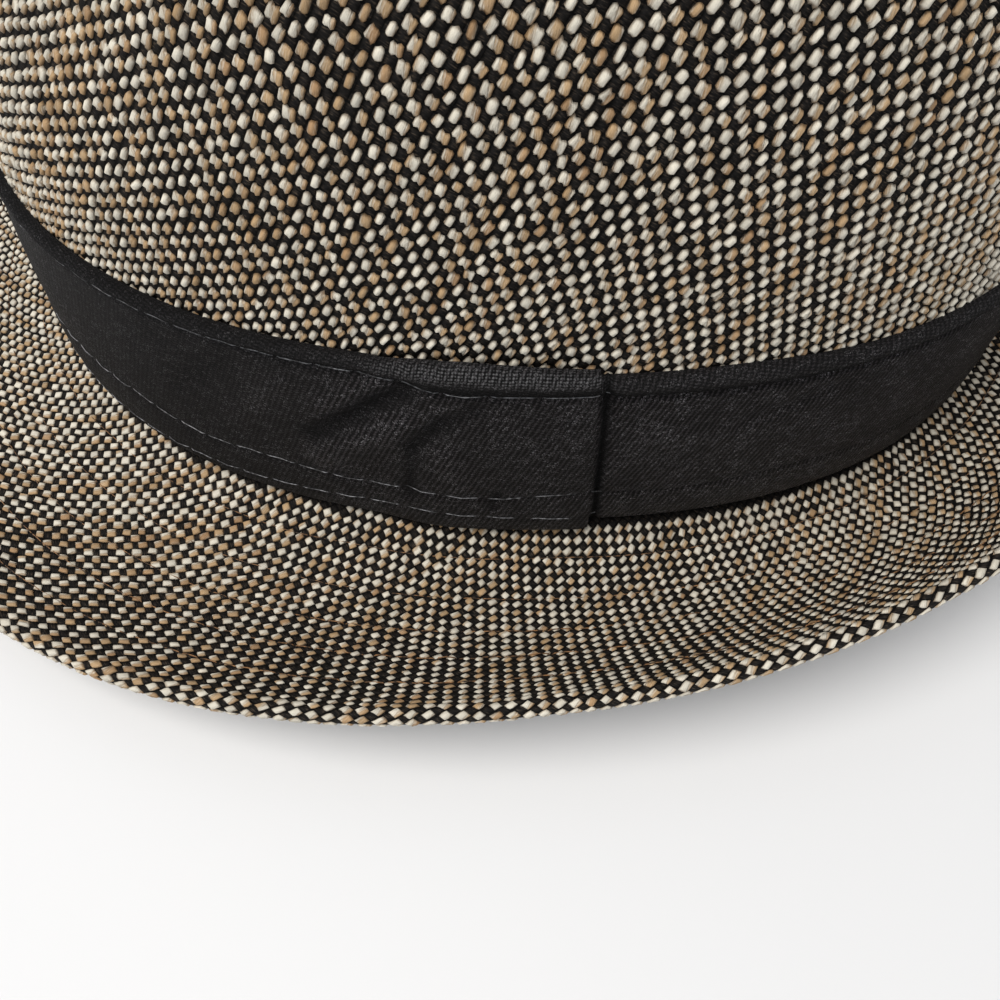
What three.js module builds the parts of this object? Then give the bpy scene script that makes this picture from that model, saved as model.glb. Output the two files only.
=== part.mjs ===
// A short-brim fedora cut and sewn from woven cloth, lying on a flat surface as it rests by itself.
//
// Every piece is first worked out in the hat's own upright frame, in millimetres: +X is the wearer's left,
// -Y the front, +Z up, and the origin is the middle of the crown's foot. settle() then tips the whole hat
// back until its front edge and the back of its brim touch the surface, z = 0.
//
// Places round the hat are given by a turn in degrees: 0 front, 90 wearer's left, 180 back, 270 right.
import * as THREE from "three";

const DEG = Math.PI / 180;

// Cloth and seams
const CROWN_CLOTH = 1.5;
const BRIM_CLOTH = 2.0;
const BAND_CLOTH = 1.2;
const GAP = 0.3;

// Crown: an oval foot, a wall that leans and domes inwards, a round shoulder and a hollowed tip
const FOOT_LENGTH = 200;
const FOOT_WIDTH = 164;
const OVAL_POWER = 2.25;
const WALL_LEAN = 0.024;
const WALL_DOME = 0.0015;
const CREST_HEIGHT = 108;
const CREST_RISE_TO_FRONT = 4;
const SHOULDER_ROUND = 10;
const SEAM_ON_SHOULDER = 55 * DEG;
const TIP_FLOOR_HEIGHT = 86;
const TIP_CREASE_DEPTH = 4;
const TIP_CREASE_HALF_WIDTH = 9;

// How far in from the crest the hollow of the tip reaches its floor, as a share of the way to the middle
const TIP_SLOPES = [
  { turn: 0, reach: 0.9 },
  { turn: 90, reach: 0.85 },
  { turn: 180, reach: 0.7 },
];

// The two front pinches, where the fingers lift the hat
const PINCHES = [{ turn: 38 }, { turn: -38 }];
const PINCH_DEPTH = 12;
const PINCH_HALF_ANGLE = 20;
const PINCH_STARTS_AT = 48;
const PINCH_FULL_AT = 98;
const PINCH_FADES_AT = 0.7;

// Brim: its slope leaving the crown and its slope at the edge, in degrees, positive where it rises outwards
const BRIM_WIDTH = 45;
const BRIM_MARGIN = 2;
const BRIM_SLOPES = [
  { turn: 0, atCrown: -33, atEdge: -8 },
  { turn: 25, atCrown: -38, atEdge: 0 },
  { turn: 47, atCrown: -40, atEdge: 22 },
  { turn: 67, atCrown: -36, atEdge: 36 },
  { turn: 90, atCrown: -26, atEdge: 51 },
  { turn: 113, atCrown: -15, atEdge: 67 },
  { turn: 135, atCrown: -7, atEdge: 80 },
  { turn: 180, atCrown: 0, atEdge: 84 },
];
const PRESSED_FLAT = 0.8;
const LIFT_FADES_AT = 40;

// Hat band: one strip that goes once round and laps over its own beginning on the wearer's left
const BAND_TOP = 37;
const BAND_FOOT = 0.8;
const BAND_FOOT_STEP = 1.2;
const LAP_TURN = 92;
const LAP_LENGTH_TURNS = 10;
const LAP_RAMP_TURNS = 9;

// Steps of the faceted surfaces
const STEPS_ROUND = 80;
const WALL_STEPS = 9;
const SHOULDER_STEPS = 3;
const TIP_STEPS = 8;
const BRIM_STEPS = 8;
const BAND_STEPS_UP = 3;

const smooth = (low, high, value) => {
  const share = Math.min(Math.max((value - low) / (high - low), 0), 1);
  return share * share * (3 - 2 * share);
};

// The turn from one place to another, between -180 and 180.
const turnFrom = (turn, from) => ((turn - from + 180) % 360 + 360) % 360 - 180;

// Reads a column of a table at any turn: both sides of the hat are alike, and the steps between rows are eased.
function readRows(rows, column, turn) {
  const fromFront = Math.abs(turnFrom(turn, 0));
  const next = Math.max(1, rows.findIndex((row) => row.turn >= fromFront));
  const [low, high] = [rows[next - 1], rows[next]];
  const before = rows[next - 2] ?? { ...high, turn: 2 * low.turn - high.turn };
  const after = rows[next + 1] ?? { ...low, turn: 2 * high.turn - low.turn };
  const span = high.turn - low.turn;
  const share = (fromFront - low.turn) / span;
  const startSlope = span * (high[column] - before[column]) / (high.turn - before.turn);
  const endSlope = span * (after[column] - low[column]) / (after.turn - low.turn);
  const bend = low[column] - high[column];
  return low[column] + share * (startSlope + share * (-3 * bend - 2 * startSlope - endSlope
    + share * (2 * bend + startSlope + endSlope)));
}

// A point on the foot's oval, moved in by inset.
function ovalPoint(turn, inset) {
  const angle = (turn - 90) * DEG;
  const bulge = (value) => Math.sign(value) * Math.abs(value) ** (2 / OVAL_POWER);
  const x = (FOOT_WIDTH / 2 - inset) * bulge(Math.cos(angle));
  const y = (FOOT_LENGTH / 2 - inset) * bulge(Math.sin(angle));
  return new THREE.Vector3(x, y, 0);
}

// The level direction straight out of the foot's oval.
function ovalOutward(turn) {
  const step = 0.05;
  const along = ovalPoint(turn + step, 0).sub(ovalPoint(turn - step, 0));
  return new THREE.Vector3(along.y, -along.x, 0).normalize();
}

const wallInset = (height) => WALL_LEAN * height + WALL_DOME * height * height;
const crestHeight = (turn) => CREST_HEIGHT + CREST_RISE_TO_FRONT * Math.cos(turn * DEG);

// The depth of the pinches: they deepen with height and, over the crest, fade towards the middle of the tip.
function pinchInset(turn, height, inward) {
  const across = PINCHES.map((pinch) => {
    return Math.exp(-((turnFrom(turn, pinch.turn) / PINCH_HALF_ANGLE) ** 2));
  });
  const strength = across[0] + across[1];
  const deepening = smooth(PINCH_STARTS_AT, PINCH_FULL_AT, height);
  return PINCH_DEPTH * strength * deepening * (1 - smooth(0, PINCH_FADES_AT, inward));
}

// The outside of the crown. The way up is 0 at the foot, 1 where the shoulder starts, 2 on the crest and 3 in
// the middle of the tip.
function crownPoint(turn, way) {
  const crest = crestHeight(turn);
  const shoulderFoot = crest - SHOULDER_ROUND;
  const wallHeight = Math.min(way, 1) * shoulderFoot;
  const bend = Math.min(Math.max(way - 1, 0), 1) * Math.PI / 2;
  const height = wallHeight + SHOULDER_ROUND * Math.sin(bend);
  const inward = Math.max(way - 2, 0);
  const shoulderInset = SHOULDER_ROUND * (1 - Math.cos(bend));
  const inset = wallInset(wallHeight) + shoulderInset + pinchInset(turn, height, inward);
  const point = ovalPoint(turn, inset).multiplyScalar(1 - inward);
  const sunk = smooth(0, readRows(TIP_SLOPES, "reach", turn), inward);
  const crease = TIP_CREASE_DEPTH * sunk * Math.exp(-((point.x / TIP_CREASE_HALF_WIDTH) ** 2));
  point.z = height + (TIP_FLOOR_HEIGHT - height) * sunk - crease;
  return point;
}

// The top of the brim. reach runs from -BRIM_MARGIN, under the crown's wall, to BRIM_WIDTH at the edge.
function brimPoint(turn, reach) {
  const outward = ovalOutward(turn);
  const point = ovalPoint(turn, 0);
  point.z = -GAP;
  if (reach <= 0) {
    return point.addScaledVector(outward, reach);
  }
  const atCrown = readRows(BRIM_SLOPES, "atCrown", turn) * DEG;
  const atEdge = readRows(BRIM_SLOPES, "atEdge", turn) * DEG;
  const pieces = 12;
  for (let piece = 0; piece < pieces; piece++) {
    const left = 1 - (piece + 0.5) / pieces * reach / BRIM_WIDTH;
    const slope = atCrown + (atEdge - atCrown) * (1 - left * left);
    point.addScaledVector(outward, Math.cos(slope) * reach / pieces);
    point.z += Math.sin(slope) * reach / pieces;
  }
  return point;
}

// The outside of the hat band at a height, standing off the crown's wall.
function bandPoint(turn, height, standOff) {
  const point = ovalPoint(turn, wallInset(height) - standOff);
  point.z = height;
  return point;
}

// The direction straight out of a surface, from the way it runs round and the way it runs up.
function normalOf(surface, turn, way, step) {
  const round = surface(turn + step, way).sub(surface(turn - step, way));
  const up = surface(turn, way + step / 20).sub(surface(turn, way - step / 20));
  return round.cross(up).normalize();
}

// The underside of the brim below a point of its top.
function brimUnder(turn, reach) {
  const top = brimPoint(turn, reach);
  const normal = reach <= 0 ? new THREE.Vector3(0, 0, 1) : normalOf(brimPoint, turn, reach, 0.1).negate();
  return top.addScaledVector(normal, -BRIM_CLOTH);
}

// The tip back on to the surface: the front edge and the back of the brim's foot come level.
const frontRest = brimUnder(0, BRIM_WIDTH);
const backRest = brimUnder(180, 0);
const REST_TILT = Math.atan2(backRest.z - frontRest.z, backRest.y - frontRest.y);

const tip = (point) => point.clone().applyAxisAngle(new THREE.Vector3(1, 0, 0), -REST_TILT);

const REST_DROP = tip(backRest).z + PRESSED_FLAT;

// Places a point of the upright hat in the resting hat, raised by lift where the surface presses the cloth.
const settle = (point, lift) => tip(point).add(new THREE.Vector3(0, 0, lift - REST_DROP));

// How far the surface presses up the brim at a place.
function pressLift(turn, reach) {
  const lowest = Math.min(tip(brimPoint(turn, reach)).z, tip(brimUnder(turn, reach)).z);
  return Math.max(0, REST_DROP - lowest);
}

// The crown and the band give way to the brim below them, less and less with height.
const footLift = (turn, height) => pressLift(turn, 0) * (1 - smooth(0, LIFT_FADES_AT, height));

// Collects points and triangles of one closed mesh.
class Shell {
  constructor() {
    this.points = [];
    this.faces = [];
  }

  add(point) {
    this.points.push(point.x, point.y, point.z);
    return this.points.length / 3 - 1;
  }

  quad(a, b, c, d) {
    this.faces.push(a, b, c, a, c, d);
  }

  geometry() {
    const geometry = new THREE.BufferGeometry();
    geometry.setAttribute("position", new THREE.Float32BufferAttribute(this.points, 3));
    geometry.setIndex(this.faces);
    geometry.computeVertexNormals();
    return geometry;
  }
}

// Joins two sheets of points, outer and inner, into one closed wall. columns[i][j] holds the settled pair at
// column i and row j; ring says that the last column meets the first.
function wallShell(columns, ring) {
  const shell = new Shell();
  const ids = columns.map((column) => column.map((pair) => pair.map((point) => shell.add(point))));
  const last = ring ? ids.length : ids.length - 1;
  const rows = ids[0].length;
  for (let i = 0; i < last; i++) {
    const [here, there] = [ids[i], ids[(i + 1) % ids.length]];
    for (let j = 0; j + 1 < rows; j++) {
      shell.quad(here[j][0], there[j][0], there[j + 1][0], here[j + 1][0]);
      shell.quad(here[j + 1][1], there[j + 1][1], there[j][1], here[j][1]);
    }
    shell.quad(here[0][1], there[0][1], there[0][0], here[0][0]);
    shell.quad(here[rows - 1][0], there[rows - 1][0], there[rows - 1][1], here[rows - 1][1]);
  }
  if (!ring) {
    const ends = [ids[0], ids[ids.length - 1]];
    for (let j = 0; j + 1 < rows; j++) {
      shell.quad(ends[0][j][1], ends[0][j][0], ends[0][j + 1][0], ends[0][j + 1][1]);
      shell.quad(ends[1][j][0], ends[1][j][1], ends[1][j + 1][1], ends[1][j + 1][0]);
    }
  }
  return shell.geometry();
}

const turnsRound = Array.from({ length: STEPS_ROUND }, (_, step) => step * 360 / STEPS_ROUND);

const steps = (from, to, count) => Array.from({ length: count + 1 }, (_, step) => from + (to - from) * step / count);

// A settled pair on the crown: the outside and, a cloth's thickness in, the inside.
function crownPair(turn, way) {
  const outer = crownPoint(turn, way);
  const inner = outer.clone().addScaledVector(normalOf(crownPoint, turn, way, 0.1), -CROWN_CLOTH);
  const lift = footLift(turn, outer.z);
  return [settle(outer, lift), settle(inner, lift)];
}

const seamWay = 1 + SEAM_ON_SHOULDER / (Math.PI / 2);
const seamGapWays = GAP / (SHOULDER_ROUND * Math.PI / 2);

function crownSide() {
  const ways = [...steps(0, 1, WALL_STEPS), ...steps(1, seamWay, SHOULDER_STEPS).slice(1)];
  return wallShell(turnsRound.map((turn) => ways.map((way) => crownPair(turn, way))), true);
}

function crownTip() {
  const ways = [...steps(seamWay + seamGapWays, 2, 2), ...steps(2, 3, TIP_STEPS).slice(1, -1)];
  const shell = new Shell();
  const ids = turnsRound.map((turn) => ways.map((way) => crownPair(turn, way).map((point) => shell.add(point))));
  const middle = crownPoint(0, 3);
  const under = middle.clone().add(new THREE.Vector3(0, 0, -CROWN_CLOTH));
  const centre = [middle, under].map((point) => shell.add(settle(point, 0)));
  const rows = ways.length;
  ids.forEach((here, i) => {
    const there = ids[(i + 1) % ids.length];
    for (let j = 0; j + 1 < rows; j++) {
      shell.quad(here[j][0], there[j][0], there[j + 1][0], here[j + 1][0]);
      shell.quad(here[j + 1][1], there[j + 1][1], there[j][1], here[j][1]);
    }
    shell.quad(here[0][1], there[0][1], there[0][0], here[0][0]);
    shell.faces.push(here[rows - 1][0], there[rows - 1][0], centre[0]);
    shell.faces.push(there[rows - 1][1], here[rows - 1][1], centre[1]);
  });
  return shell.geometry();
}

function brim() {
  const reaches = [-BRIM_MARGIN, 0, ...steps(0, BRIM_WIDTH, BRIM_STEPS).slice(1)];
  const columns = turnsRound.map((turn) => reaches.map((reach) => {
    const lift = pressLift(turn, reach);
    return [settle(brimPoint(turn, reach), lift), settle(brimUnder(turn, reach), lift)];
  }));
  return wallShell(columns.reverse(), true);
}

function hatBand() {
  const start = LAP_TURN;
  const whole = 360 + LAP_LENGTH_TURNS;
  const count = Math.round(whole / (360 / STEPS_ROUND));
  const columns = steps(0, whole, count).map((progress) => {
    const turn = start + progress - LAP_LENGTH_TURNS;
    const lap = smooth(whole - LAP_LENGTH_TURNS - LAP_RAMP_TURNS, whole - LAP_LENGTH_TURNS, progress);
    const standOff = GAP + BAND_CLOTH + lap * (BAND_CLOTH + GAP);
    const foot = BAND_FOOT + BAND_FOOT_STEP * (1 - progress / whole);
    return steps(foot, BAND_TOP, BAND_STEPS_UP).map((height) => {
      const lift = footLift(turn, height);
      return [standOff, standOff - BAND_CLOTH].map((off) => settle(bandPoint(turn, height, off), lift));
    });
  });
  return wallShell(columns, false);
}

const tweed = () => new THREE.MeshStandardMaterial({ color: 0x8a7a66, roughness: 0.95, metalness: 0 });
const twill = () => new THREE.MeshStandardMaterial({ color: 0x262528, roughness: 0.9, metalness: 0 });

function piece(name, geometry, material) {
  const mesh = new THREE.Mesh(geometry, material);
  mesh.name = name;
  return mesh;
}

const fedora = new THREE.Group();
fedora.add(piece("crown_side", crownSide(), tweed()));
fedora.add(piece("crown_tip", crownTip(), tweed()));
fedora.add(piece("brim", brim(), tweed()));
fedora.add(piece("hat_band", hatBand(), twill()));

// The middle of the hat's plan stands over the origin.
const extent = new THREE.Box3().setFromObject(fedora);
fedora.position.y = -(extent.min.y + extent.max.y) / 2;

export default fedora;
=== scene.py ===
"""The looks of a short-brim fedora of marled woven cloth, built round its packed frame.

Shapes are worked out in the hat's own upright frame, in millimetres: +X is the wearer's left, -Y the
front, +Z up, and the origin is the middle of the crown's foot. rest_place() puts them where the hat
rests in the frame, in metres. Places round the hat are given by a turn in degrees: 0 front, 90
wearer's left, 180 back, -90 wearer's right.
"""

import math

import bpy
import numpy as np
from bpy.props import FloatProperty, FloatVectorProperty, IntProperty, PointerProperty
from mathutils import Matrix, Vector


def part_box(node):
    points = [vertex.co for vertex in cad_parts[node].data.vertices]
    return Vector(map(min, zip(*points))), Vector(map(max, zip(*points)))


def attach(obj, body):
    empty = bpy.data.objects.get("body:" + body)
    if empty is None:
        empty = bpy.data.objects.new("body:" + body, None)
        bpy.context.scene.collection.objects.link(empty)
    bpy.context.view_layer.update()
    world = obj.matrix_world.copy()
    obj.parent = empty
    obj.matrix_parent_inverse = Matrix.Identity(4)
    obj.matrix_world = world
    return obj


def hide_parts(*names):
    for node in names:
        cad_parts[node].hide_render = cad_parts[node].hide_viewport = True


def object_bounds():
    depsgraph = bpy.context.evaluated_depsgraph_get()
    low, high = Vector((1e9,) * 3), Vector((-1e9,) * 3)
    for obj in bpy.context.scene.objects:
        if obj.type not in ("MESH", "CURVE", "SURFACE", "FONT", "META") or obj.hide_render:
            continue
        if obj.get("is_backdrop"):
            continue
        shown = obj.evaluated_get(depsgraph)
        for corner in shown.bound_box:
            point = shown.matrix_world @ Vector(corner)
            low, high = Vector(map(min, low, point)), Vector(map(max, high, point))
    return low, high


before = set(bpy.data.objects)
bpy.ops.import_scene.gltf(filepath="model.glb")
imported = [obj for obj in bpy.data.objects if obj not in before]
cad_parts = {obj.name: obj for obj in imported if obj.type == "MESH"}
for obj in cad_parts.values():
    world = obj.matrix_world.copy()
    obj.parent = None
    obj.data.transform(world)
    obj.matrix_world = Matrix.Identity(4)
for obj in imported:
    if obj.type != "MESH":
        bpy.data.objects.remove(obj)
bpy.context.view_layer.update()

bl_info = {
    "name": "Fedora looks",
    "version": (1, 0, 0),
    "blender": (4, 5, 0),
    "location": "3D View > Sidebar > Fedora",
    "description": "Marled woven cloth, twill band and stitching for a short-brim fedora",
    "category": "Object",
}

# ---------------------------------------------------------------------------------------------------
# Sizes that the solids share, in millimetres and degrees
# ---------------------------------------------------------------------------------------------------

MM = 0.001

# Thicknesses of the cloths, and the gap between the solids
CROWN_CLOTH = 1.5
BRIM_CLOTH = 2.0
BAND_CLOTH = 1.2
GAP = 0.3

# The crown: the oval of its foot, how its wall leans in and is domed, its crest and the round shoulder
FOOT_LENGTH = 200.0
FOOT_WIDTH = 164.0
OVAL_POWER = 2.25
WALL_LEAN = 0.024
WALL_DOME = 0.0015
CREST_HEIGHT = 108.0
CREST_RISE_TO_FRONT = 4.0
SHOULDER_ROUND = 10.0

# The tip: where its seam lies on the shoulder, and its hollow with the crease down its middle
SEAM_WAY = 1 + 55 / 90
TIP_FLOOR_HEIGHT = 86.0
TIP_CREASE_DEPTH = 4.0
TIP_CREASE_HALF_WIDTH = 9.0
TIP_SLOPES = [
    {"turn": 0, "reach": 0.9},
    {"turn": 90, "reach": 0.85},
    {"turn": 180, "reach": 0.7},
]

# The two pinches at the front
PINCH_TURNS = (38.0, -38.0)
PINCH_DEPTH = 12.0
PINCH_HALF_ANGLE = 20.0
PINCH_STARTS_AT = 48.0
PINCH_FULL_AT = 98.0
PINCH_FADES_AT = 0.7

# The brim: its width, how far it runs in under the crown, and how its slope changes round the hat
BRIM_WIDTH = 45.0
BRIM_MARGIN = 2.0
BRIM_SLOPES = [
    {"turn": 0, "at_crown": -33, "at_edge": -8},
    {"turn": 25, "at_crown": -38, "at_edge": 0},
    {"turn": 47, "at_crown": -40, "at_edge": 22},
    {"turn": 67, "at_crown": -36, "at_edge": 36},
    {"turn": 90, "at_crown": -26, "at_edge": 51},
    {"turn": 113, "at_crown": -15, "at_edge": 67},
    {"turn": 135, "at_crown": -7, "at_edge": 80},
    {"turn": 180, "at_crown": 0, "at_edge": 84},
]

# How far the brim is pressed up where the hat stands on it, and up to what height the crown gives way
PRESSED_FLAT = 0.8
LIFT_FADES_AT = 40.0

# The band: its top and its foot, which comes down a step along it, and the lap over its own beginning
BAND_TOP = 37.0
BAND_FOOT = 0.8
BAND_FOOT_STEP = 1.2
LAP_TURN = 92.0
LAP_LENGTH_TURNS = 10.0
LAP_RAMP_TURNS = 9.0
BAND_WHOLE_TURN = 360.0 + LAP_LENGTH_TURNS

# ---------------------------------------------------------------------------------------------------
# The lie of the cloth and its finish, in millimetres
# ---------------------------------------------------------------------------------------------------

# The crown's side is cut flat and wrapped round as a shallow cone; the weave keeps straight in it
CONE_RADIUS = 565.0
CROWN_WEAVE_ANGLE = 0.281
CROWN_COLUMN = 1.928
CROWN_ROW = 1.912

# The brim's weave runs out from the crown and round it, and leaves the round ahead of the wearer's left
BRIM_COLUMN = 1.83
BRIM_ROWS_A_MM = 0.5
BRIM_ROWS_CLOSING = 0.0017
BRIM_DRIFT = 0.07
BRIM_DRIFT_FADE = 6.0

# The brim's folded edge
ROLL_RADIUS = 1.3
EDGE_STANDS_OUT = 0.4
ROLL_START = BRIM_WIDTH - EDGE_STANDS_OUT - ROLL_RADIUS
ROLL_END = ROLL_START + math.pi * ROLL_RADIUS
SWELL_LENGTH = 2.6

# The seam at the back: half its width, the turn that the yarns reach and the turn that the cloth ends at,
# in degrees, and how far past the seam the brim's last yarns may start, as a share of a column
BACK_SEAM_TURNS = 0.5
SEWN_TURN = 179.85
SEAM_END = 180 - 0.004
CAUGHT_IN_SEAM = 0.3

# How deep the cloth is drawn in at the back seam and at the seam round the tip, and how far up the crown
# that reaches on either side of it, as a share of the way
CROWN_BACK_DIP = 0.7
BRIM_BACK_DIP = 0.6
TIP_SEAM_DIP = 0.5
SIDE_DIP_WAY = 0.12
TIP_DIP_WAY = 0.14

# How far the dark yarns lie below the light ones' own surface, and the light ones' rims below that
CROWN_SINK = 0.17
BRIM_SINK = 0.07
RIM_SINK = 0.1

# Where the light yarns surface: from under the band, up to a margin below the seam, over most of the tip,
# and on the brim from beside the crown's foot to beside its end on the underside
CROWN_YARNS_FROM = 34.0
CROWN_YARNS_MARGIN = 0.2
TIP_YARNS_SHARE = 0.995
BRIM_YARNS_FROM = 0.8
BRIM_YARNS_MARGIN = 0.3

# The brim's rows of stitches, and the grooves that they draw in
BRIM_STITCH_REACHES = (7.0, 15.0, 22.3, 29.0, 36.0)
STITCH_GROOVE = 0.13
STITCH_GROOVE_HALF_WIDTH = 0.55

# Heights of the band's top edge and of its three seams, each by the way along the band in degrees
BAND_EDGES = [
    (0, 37.2), (10, 37.4), (20, 37.9), (32, 37.2), (60, 37.2), (300, 37.6), (333, 38.2), (350, 38.8),
    (354, 39.0), (357, 40.2), (360, 40.7), (364, 40.4), (370, 39.9),
]
HEM_SEAMS = [
    (0, 34.0), (31, 34.3), (60, 34.9), (180, 35.2), (320, 35.6), (333, 36.0), (350, 36.5), (354.5, 36.6),
    (356.3, 36.0), (357.6, 35.5), (364, 35.6), (370, 36.0),
]
LOWER_SEAMS = [
    (0, 10.8), (10, 10.7), (16, 10.3), (22, 11.0), (29, 11.6), (36, 10.7), (60, 11.0), (180, 11.0),
    (310, 11.6), (324, 12.6), (334, 10.8), (343, 11.6), (350, 10.6), (356, 11.3), (360, 11.3),
    (363.4, 10.8), (366.5, 12.1), (370, 12.9),
]
FOOT_SEAMS = [
    (0, 3.6), (10, 3.5), (20, 3.2), (60, 3.2), (300, 3.0), (325, 3.0), (334, 3.8), (342, 4.7),
    (352, 5.8), (356, 6.3), (361, 6.0), (370, 5.4),
]

# Creases of the band beside its lap: two ends as (degrees along the band, height), depth, half width
BAND_CREASES = [
    ((356.2, 35.0), (347.5, 21.0), 1.2, 1.6),
    ((355.5, 27.5), (348.0, 15.5), -0.8, 2.6),
    ((354.0, 36.0), (348.5, 28.0), -0.5, 1.6),
    ((361.5, 33.5), (358.8, 29.0), 0.45, 1.1),
    ((358.8, 29.0), (356.4, 22.5), 0.9, 1.5),
    ((356.4, 22.5), (356.0, 10.0), 0.7, 1.3),
    ((359.5, 22.0), (360.0, 13.0), -0.3, 2.2),
    ((363.4, 13.0), (363.0, 8.5), 0.6, 0.9),
    ((340.0, 33.0), (333.0, 22.0), 0.35, 2.0),
    ((345.0, 31.0), (338.0, 17.0), -0.25, 2.0),
    ((30.0, 31.0), (21.0, 26.5), 0.35, 1.4),
    ((22.0, 22.0), (14.0, 25.0), -0.25, 2.5),
]

# The lap's end leans by some degrees from foot to top, and is tucked in. The band below is drawn in along a
# line beside it: the ways along at its foot and its top, its depth and half width, and how soon it fades in
LAP_END_LEAN = 1.2
END_LEANS_FROM = 361
END_TUCK_DEPTH = 0.4
END_TUCK_TURNS = 0.3
BESIDE_LAP_LINE = (10.55, 9.4)
BESIDE_LAP_DEPTH = 0.9
BESIDE_LAP_HALF_WIDTH = 0.55
BESIDE_LAP_FADES = 2.5

# The band's relief in mm: the hem's bulge and how its top turns in, how the foot swells and turns in, the
# sag between the seams, the puckers along the seams, and the grooves of the stitches
HEM_BULGE = 0.7
HEM_TURNS_IN = 0.55
FOOT_SWELL = 0.22
FOOT_TURNS_IN = 0.4
SAG_DEPTH = 0.25
PUCKER_DEPTH = 0.07
FOOT_PUCKER_DEPTH = 0.06
SEAM_DEPTH = 0.4
SEAM_HALF_WIDTH = 0.6
LOWER_SEAM_SHARE = 0.6
FOOT_SEAM_SHARE = 0.35

# How far the stitches of the band's lower seams and of its hem stand off it, by the way along the band:
# they lie half sunk just after its beginning
STITCH_LIFTS = [
    (0, -0.05), (5, -0.06), (14, -0.2), (50, -0.2), (75, 0.0), (300, 0.12), (350, 0.1), (358, -0.03),
    (370, -0.05),
]
HEM_STITCH_LIFTS = [
    (0, 0.33), (6, 0.3), (15, 0.0), (50, 0.0), (75, 0.38), (300, 0.5), (350, 0.48), (358, 0.35),
    (370, 0.33),
]

# How much the band is worn grey, with painted sheen on it, by the way along the band, and how strong the
# painted highlight on its hem's turned edge is
BAND_WEAR_AND_SHEEN = [
    (0, 1.3), (45, 1.3), (90, 1.0), (300, 0.9), (333, 0.7), (345, 0.9), (352, 1.05), (370, 1.15),
]
HEM_HIGHLIGHTS = [
    (0, 0.25), (14, 0.1), (30, 0), (330, 0), (352, 0.1), (356, 0.8), (363, 1.0), (368, 0.75), (370, 0.6),
]

# How much painted shade takes from the band's wear and sheen, at most and in each place: a mm down its
# creases (their ridges get a painted highlight), in the lower half of the hem, as a painted shadow beside
# the lap's end, and on the hem's edge where it has no painted highlight
MOST_PAINTED_SHADE = 0.9
PAINTED_SHADE_IN_CREASES = 0.5
PAINTED_SHADE_UNDER_HEM = 0.7
PAINTED_SHADOW_BESIDE_LAP = 0.9
PAINTED_SHADE_ON_HEM = 0.3

# The viewpoint, in the hat's upright frame: place in millimetres, angles in degrees
CAMERA_PLACE = (150.657, -18.714, 127.901)
CAMERA_YAW = 173.01
CAMERA_PITCH = 60.22
CAMERA_ROLL = 5.22
CAMERA_LENS = 29.7
CAMERA_SENSOR = 36.0


# ---------------------------------------------------------------------------------------------------
# The hat's shape
# ---------------------------------------------------------------------------------------------------

# How finely directions are read, as a turn in degrees and as a way, and in how many steps the brim's slope
# is followed
TURN_STEP = 0.1
WAY_STEP = TURN_STEP / 20
SLOPE_STEPS = 12

# Numbers of places on the charts: ways up the crown and lengths up it, ways and shares across the tip, and
# places out along the brim for its press and for its weave
CROWN_WAYS = 161
CROWN_LENGTHS = 241
TIP_WAYS = 121
TIP_SHARES = 201
PRESS_REACHES = 95
BRIM_REACHES = 200

# Directions turn over at the crown's foot and in the middle of the tip. The brim's underside and its skin
# read them from just outside the foot on, and the tip reads them and places its yarns up to just short of
# its middle
UNDER_READ_FROM = 0.01
SKIN_READ_FROM = 0.05
TIP_READ_TO = 2.97
TIP_PLACES_TO = 0.997

STRAIGHT_UP = np.array([0.0, 0.0, 1.0])


def share_between(low, high, value):
    """How far a value is on its way from low to high, from 0 to 1."""
    return np.clip((value - low) / (high - low), 0, 1)


def smooth(low, high, value):
    """Eases from 0 at low to 1 at high."""
    share = share_between(low, high, value)
    return share * share * (3 - 2 * share)


def turn_from(turn, start):
    """The turn from one place to another, between -180 and 180."""
    return (np.asarray(turn, float) - start + 180) % 360 - 180


def read_rows(rows, column, turn):
    """Reads a column of a table at any turn: both sides are alike and the steps between rows eased."""
    from_front = np.abs(turn_from(turn, 0))
    turns = [row["turn"] for row in rows]
    values = [row[column] for row in rows]
    knots = np.array([-turns[1], *turns, 360 - turns[-2]], float)
    heights = np.array([values[1], *values, values[-2]], float)
    low = np.clip(np.searchsorted(knots, from_front, side="right") - 1, 1, len(turns) - 1)
    span = knots[low + 1] - knots[low]
    share = (from_front - knots[low]) / span
    start, end = heights[low], heights[low + 1]
    start_slope = span * (end - heights[low - 1]) / (knots[low + 1] - knots[low - 1])
    end_slope = span * (heights[low + 2] - start) / (knots[low + 2] - knots[low])
    bend = start - end
    return start + share * (start_slope + share * (
        -3 * bend - 2 * start_slope - end_slope + share * (2 * bend + start_slope + end_slope)))


def bell(distance, half_width):
    """1 at no distance, and fading away on both sides."""
    return np.exp(-((distance / half_width) ** 2))


def unit(vectors):
    return vectors / np.linalg.norm(vectors, axis=-1, keepdims=True)


def oval_point(turn, inset):
    """A point on the foot's oval, moved in by inset."""
    turn, inset = np.broadcast_arrays(np.asarray(turn, float), inset)
    angle = np.radians(turn - 90)
    power = 2 / OVAL_POWER
    x = (FOOT_WIDTH / 2 - inset) * np.sign(np.cos(angle)) * np.abs(np.cos(angle)) ** power
    y = (FOOT_LENGTH / 2 - inset) * np.sign(np.sin(angle)) * np.abs(np.sin(angle)) ** power
    return np.stack([x, y, np.zeros_like(x)], -1)


def oval_outward(turn):
    """The level direction straight out of the foot's oval."""
    step = TURN_STEP / 2
    along = oval_point(turn + step, 0) - oval_point(turn - step, 0)
    return unit(np.stack([along[..., 1], -along[..., 0], np.zeros_like(along[..., 0])], -1))


def wall_inset(height):
    """How far the crown's wall has leaned in at a height."""
    return WALL_LEAN * height + WALL_DOME * height * height


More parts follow.
